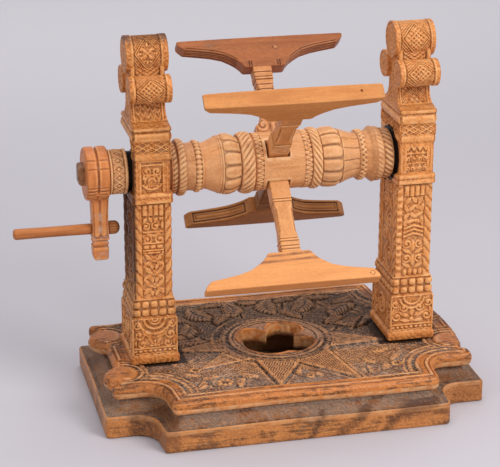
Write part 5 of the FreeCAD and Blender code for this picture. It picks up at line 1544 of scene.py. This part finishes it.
def streaked(turns, x, y, z):
    """Growth rings along a bar's board: dark ones next to the arm on the bottom front bar, faint on the
    others."""
    lean = math.radians(REEL_TILT - 90 * turns)
    out = (z - AXLE_Z) * math.cos(lean) - y * math.sin(lean)
    ring = 0.5 + 0.5 * np.cos(1.15 * out + 0.9 * np.sin(x / 21) + 0.35 * np.sin(x / 6 + 1.7 * out))
    return 0.9 * ring ** 2 * np.clip((BAR_OUT_R - 18 - out) / 3, 0, 1) if turns == 3 else 0.12 * ring


BAR_TONES = {"top_front": dict(light=(0.67, 0.28, 0.085), dark=(0.50, 0.18, 0.050), stain_and_shade=(0.24, 0.08, 0.028),
                               worn=(0.82, 0.42, 0.15), blotch=0.3),
             "top_back": dict(light=(0.45, 0.15, 0.050), dark=(0.29, 0.088, 0.030),
                              stain_and_shade=(0.08, 0.026, 0.012), worn=(0.62, 0.28, 0.12), blotch=0.4),
             "bottom_back": dict(light=(0.60, 0.238, 0.064), dark=(0.36, 0.132, 0.038),
                                 stain_and_shade=(0.075, 0.032, 0.015), worn=(0.62, 0.31, 0.11), blotch=0.35),
             "bottom_front": dict(light=(0.82, 0.35, 0.115), dark=(0.66, 0.25, 0.078),
                                  stain_and_shade=(0.24, 0.09, 0.042), worn=(0.90, 0.50, 0.23), blotch=0.12)}
for name, turns, arm_x, bar_x, scrolled in ARMS:
    lean = -math.radians(REEL_TILT - 90 * turns)
    bar_wood = wood("bar_wood_" + name, **BAR_TONES[name], dusty=0.15, rub=0.6, chisel=0.15, grain="x",
                    turn=lean)
    sheet, level = make_bar(name)
    sheet_piece("bar_%s_rail" % name, arm_place(sheet + (bar_x, 0, 0), turns), level, "reel", bar_wood,
                ARM_SLOTS[name], ["bar_" + name], shade_and_dirt=partial(streaked, turns))


# ---------------- crank
# A flat crank sawn from red-brown wood: a round head wedged on the axle's square and grooved round its edge,
# two stepped fillets, a reeded shank, a turned-looking neck and an end block that holds the handle's pin.

CRANK_IN, CRANK_OUT = COLLAR_OUT, 183.0
CRANK_HEAD_R, SHANK_OUT = 24.5, 177.5
HANDLE_Z = 174.0


def make_crank_head():
    """Disc about the axle: rows run from the outer face's middle over the rim to the inner face's. The rim is
    two rounded plates with a dusty groove between them, stepped by level cuts above and below, and the faces
    have a ring cut near the edge."""
    turn = np.linspace(0, 2 * np.pi, 240, endpoint=False)
    reach = 0.96 * CRANK_HEAD_R
    middle, half = -(CRANK_IN + CRANK_OUT) / 2, (CRANK_OUT - CRANK_IN) / 2
    rows = []
    shares = [0.42, 0.5, 0.6, 0.7, 0.76, 0.79, 0.82, 0.85, 0.9, 0.95]
    for share in shares:
        cut = 0.7 * max(0.0, 1 - abs(share - 0.80) / 0.035)
        rows.append((middle - half + cut + 0.15, share * CRANK_HEAD_R, -cut))
    for x in np.linspace(-half, half, 44):
        plate = abs(abs(x) - half / 2 - 0.5) / (half / 2 - 0.2)
        groove = max(0.0, 1 - abs(x) / 1.5)
        dome = 0.5 * math.sqrt(max(0.0, 1 - min(plate, 1.0) ** 2))
        bevel = 1.2 * max(0.0, abs(x) - half + 1.2)
        rows.append((middle + x, CRANK_HEAD_R - 0.4 + dome - 1.9 * groove - bevel, -2.0 * groove))
    rows += [(2 * middle - x, r, lift) for x, r, lift in rows[:len(shares)][::-1]]
    height = CRANK_HEAD_R * np.sin(turn)
    steps = sum(vee(height - at, wide, deep) for at, wide, deep in
                ((17.5, 0.8, 0.9), (10.5, 0.7, 0.7), (-7.5, 0.7, 0.8), (-11.0, 1.1, 1.6), (-14.6, 0.8, 1.0),
                 (-18.2, 0.8, 1.1)))
    sheet, level = [], []
    for x, r, lift in rows:
        cut = steps * (r > reach)
        level.append(np.minimum(lift, cut * 1.2) if r > reach else lift + 0 * turn)
        sheet.append(about_x(x, r + cut, turn, 0, AXLE_Z))
    return np.array(sheet), np.array(level)


def crank_face(face, a, z):
    """Two reeds down the shank's edge, spreading towards the head and round at the foot, and cut lines on the
    block."""
    level = vee(z - 158.2, 0.9, 1.0) + vee(z - 164.6, 0.8, 0.9)
    if face == FRONT:
        spread = 3.1 + 0.9 * np.clip((z - 188) / 16, 0, 1)
        foot = np.clip((z - 167.4) / 3.0, 0, 1)
        reed = np.sqrt(np.clip(1 - ((np.abs(a + 0.4) - spread) / (spread * foot + 0.01)) ** 2, 0, 1))
        level = level + (z > 166) * (z < 204) * (-1.8 + 1.8 * reed)
    if face in (LEFT, RIGHT):
        ring = np.hypot(a, z - HANDLE_Z)
        level = level + vee(ring - 7.4, 0.6, 0.6) * (z > 166) * (z < 200)
        level = level + vee(np.abs(a) - 6.6, 0.7, 0.7) * (z > 184) * (z < 203)
    return level


def make_crank_shank():
    """Loft from the end block up past the neck's two rolls and the shank to the stepped fillets."""
    z = stretches((145, 157, 14), (157.4, 165.6, 26), (166, 204, 62), (204.4, 216, 40))
    mid, half = -(CRANK_IN + SHANK_OUT) / 2, (SHANK_OUT - CRANK_IN) / 2
    marks = (145, 145.8, 156.6, 157.6, 158.2, 161.2, 164.4, 165,
             204.6, 205.4, 207.6, 209.8, 210.6, 211.6, 216)
    wide = (6.6, 7.8, 8.2, 7.6, 7.0, 8.3, 7.0, 9.0, 9.0, 10.0, 12.8, 14.0, 14.6, 19.0, 19.0)
    half_y = np.interp(z, marks, wide)
    half_x = np.interp(z, (145, 146.6, 157, 158.2, 161.2, 164.4, 165, 182, 204, 216),
                       half - np.array((2.4, 0.9, 0.4, 1.7, 0.4, 1.7, 0.0, 0.8, 0.0, 0.0)))
    sheet, level = loft(z, half_x, half_y, (26, 30, 26, 30), 1.0, crank_face)
    profile = np.minimum(half_y - 9, 0)[:, None]
    return sheet + (mid, 0, 0), level + profile * 0.6


crank_wood = wood("crank_wood", light=(0.70, 0.245, 0.068), dark=(0.47, 0.145, 0.040),
                  stain_and_shade=(0.16, 0.05, 0.02), worn=(0.80, 0.38, 0.15), dust=(0.60, 0.43, 0.35), dusty=0.75,
                  blotch=0.35, rub=0.6, deep=0.6, chisel=0.12)
for part, (sheet, level) in (("head", make_crank_head()), ("shank", make_crank_shank())):
    sheet_piece("crank_" + part, sheet, level, "reel", crank_wood, "crank_wood", ["crank_arm"])


# ---------------- handle
# An eight-sided grip whose round pin turns in the crank's shank, held from behind by a domed, fluted knob.

GRIP_OUT, GRIP_LEN, GRIP_AF, PIN_R = 249.5, 71.7, 9.4, 3.45
KNOB_IN, KNOB_LEN, KNOB_R = 161.7, 10.5, 6.3


def spun(places, radii, columns, facets=0, sharpness=0.0):
    """Piece turned about the handle's axis, flattened to facets by dividing the radius by the cosine of the
    angle from each flat's middle, mixed in by sharpness."""
    turn = np.linspace(0, 2 * np.pi, columns, endpoint=False)[None, :]
    radius = np.asarray(radii)[:, None] + 0 * turn
    if facets:
        off = (turn + np.pi / facets) % (2 * np.pi / facets) - np.pi / facets
        radius = radius * (1 - sharpness + sharpness * math.cos(np.pi / facets) / np.cos(off))
    return about_x(np.asarray(places)[:, None], radius, turn, 0, HANDLE_Z)


def make_grip():
    """Grip worn thin in the middle, rounded at its outer end, with the pin running in through the crank."""
    full = GRIP_AF / 2 / math.cos(math.pi / 8)
    x = np.concatenate([-GRIP_OUT + np.array([0.05, 0.3, 0.8, 1.5, 2.4]),
                        np.linspace(-246, -GRIP_OUT + GRIP_LEN - 0.8, 60)])
    end = np.concatenate([[0.35, 0.62, 0.8, 0.92, 0.98], 1 - 0.05 * np.sin(np.linspace(0, np.pi, 60))])
    grip = spun(x, full * end, 64, 8, 0.85)
    pin = spun((-177.9, -177.8, -170, -163, -156.0), (full * 0.93, PIN_R, PIN_R, PIN_R, PIN_R - 0.05), 64)
    sheet = np.concatenate([grip, pin])
    return sheet, np.zeros(sheet.shape[:2])


def make_knob():
    """Domed knob with fourteen flutes that die out over its crown."""
    share = np.linspace(0, 1, 40)
    x = -KNOB_IN + KNOB_LEN * share
    radius = KNOB_R * np.interp(share, (0, 0.04, 0.12, 0.5, 0.62, 0.75, 0.86, 0.95, 1.0),
                                (0.86, 0.97, 1.0, 1.0, 0.985, 0.9, 0.74, 0.48, 0.18))
    columns = 112
    sheet = spun(x, radius, columns)
    turn = np.linspace(0, 2 * np.pi, columns, endpoint=False)[None, :]
    flute = (0.5 + 0.5 * np.cos(turn * 14)) ** 3 * inside(share, 0.16, 0.8, 0.08)[:, None]
    level = -0.55 * flute
    sheet[..., 1:] = (sheet[..., 1:] - (0, HANDLE_Z)) * (1 + level / KNOB_R)[..., None] + (0, HANDLE_Z)
    return sheet, level


handle_wood = wood("handle_wood", light=(0.56, 0.20, 0.056), dark=(0.36, 0.112, 0.032),
                   stain_and_shade=(0.12, 0.04, 0.018), worn=(0.66, 0.29, 0.11), dusty=0.15, blotch=0.4, rub=0.4,
                   chisel=0.1, grain="x")
for part, (sheet, level), node in (("grip", make_grip(), "handle_rod"), ("knob", make_knob(), "handle_knob")):
    sheet_piece("handle_" + part + "_turned", sheet, level, "handle", handle_wood, "crank_wood", [node])


# ---------------- table, light and camera
# A pale seamless table, lit by a large soft window up on the front right, a weaker one on the left and the
# bright room. The camera looks down on the front left corner of the base through a long lens.


def make_table():
    """Wide flat disc under the feet: a ring of points on a circle joined by one face. Its colour is painted
    lighter towards the back, painted light across the table.
    """
    angle = np.linspace(0, 2 * np.pi, 64, endpoint=False)
    rim = np.stack([5 * np.cos(angle), 5 * np.sin(angle) + 1.0, np.full(64, -0.0002)], -1)
    mesh = bpy.data.meshes.new("table")
    mesh.from_pydata(rim.tolist(), [], [list(range(64))])
    made, tree, shader, place = plain_material("pale_table")
    split = tree.nodes.new("ShaderNodeSeparateXYZ")
    tree.links.new(place, split.inputs[0])
    # painted light: the table grows lighter towards the back
    far = ramp(tree, split.outputs["Y"], 0.5, 1.7)
    tree.links.new(blended(tree, far, (0.535, 0.507, 0.547, 1), (0.78, 0.745, 0.79, 1)),
                   shader.inputs["Base Color"])
    shader.inputs["Roughness"].default_value = 0.9
    shader.inputs["Specular IOR Level"].default_value = 0.1
    mesh.materials.append(made)
    put_in("table", mesh)


def soft_window(name, place, size, power, tone):
    """Square area lamp of this size at place, turned to face the reel."""
    lamp = bpy.data.lights.new(name, "AREA")
    lamp.size = size
    lamp.energy = power
    lamp.color = tone
    window = put_in(name, lamp)
    window.location = place
    away = window.location.copy()
    away.z -= 0.15
    window.rotation_euler = away.to_track_quat("Z", "Y").to_euler()


def make_room():
    """Bright room: even pale light, and the same pale tone wherever the camera or a gloss sees it."""
    world = bpy.data.worlds.new("room")
    world.use_nodes = True
    tree = world.node_tree
    path = tree.nodes.new("ShaderNodeLightPath")
    seen = maths(tree, "MAXIMUM", path.outputs["Is Camera Ray"], path.outputs["Is Glossy Ray"])
    shade = tree.nodes["Background"]
    tree.links.new(blended(tree, seen, (0.95, 0.97, 1.0, 1), (0.62, 0.59, 0.635, 1)), shade.inputs["Color"])
    tree.links.new(maths(tree, "ADD", 0.55, maths(tree, "MULTIPLY", seen, 0.45)), shade.inputs["Strength"])
    bpy.context.scene.world = world


make_table()
make_room()
soft_window("window_right", (1.1, -1.5, 1.5), 1.1, 34.0, (1.0, 0.98, 0.95))
soft_window("window_left", (-1.6, -1.2, 1.0), 1.2, 9.0, (1.0, 0.97, 0.95))
soft_window("window_above", (0.0, 0.4, 1.9), 1.2, 12.0, (1.0, 1.0, 1.0))

LENS, SENSOR = 132.16, 36.0
CAMERA_AT = (-0.40265, -1.57561, 0.75397)
CAMERA_YAW, CAMERA_PITCH, CAMERA_ROLL = 13.395, -20.237, 0.124
lens = bpy.data.cameras.new("camera")
lens.lens = LENS
lens.sensor_width = SENSOR
camera = put_in("camera", lens)
stand_point = Matrix.Translation(CAMERA_AT)
for degrees, axis in ((-CAMERA_YAW, "Z"), (90 + CAMERA_PITCH, "X"), (CAMERA_ROLL, "Z")):
    stand_point = stand_point @ Matrix.Rotation(math.radians(degrees), 4, axis)
camera.matrix_world = stand_point
bpy.context.scene.camera = camera
bpy.context.scene.view_settings.view_transform = "Standard"

bpy.context.view_layer.update()
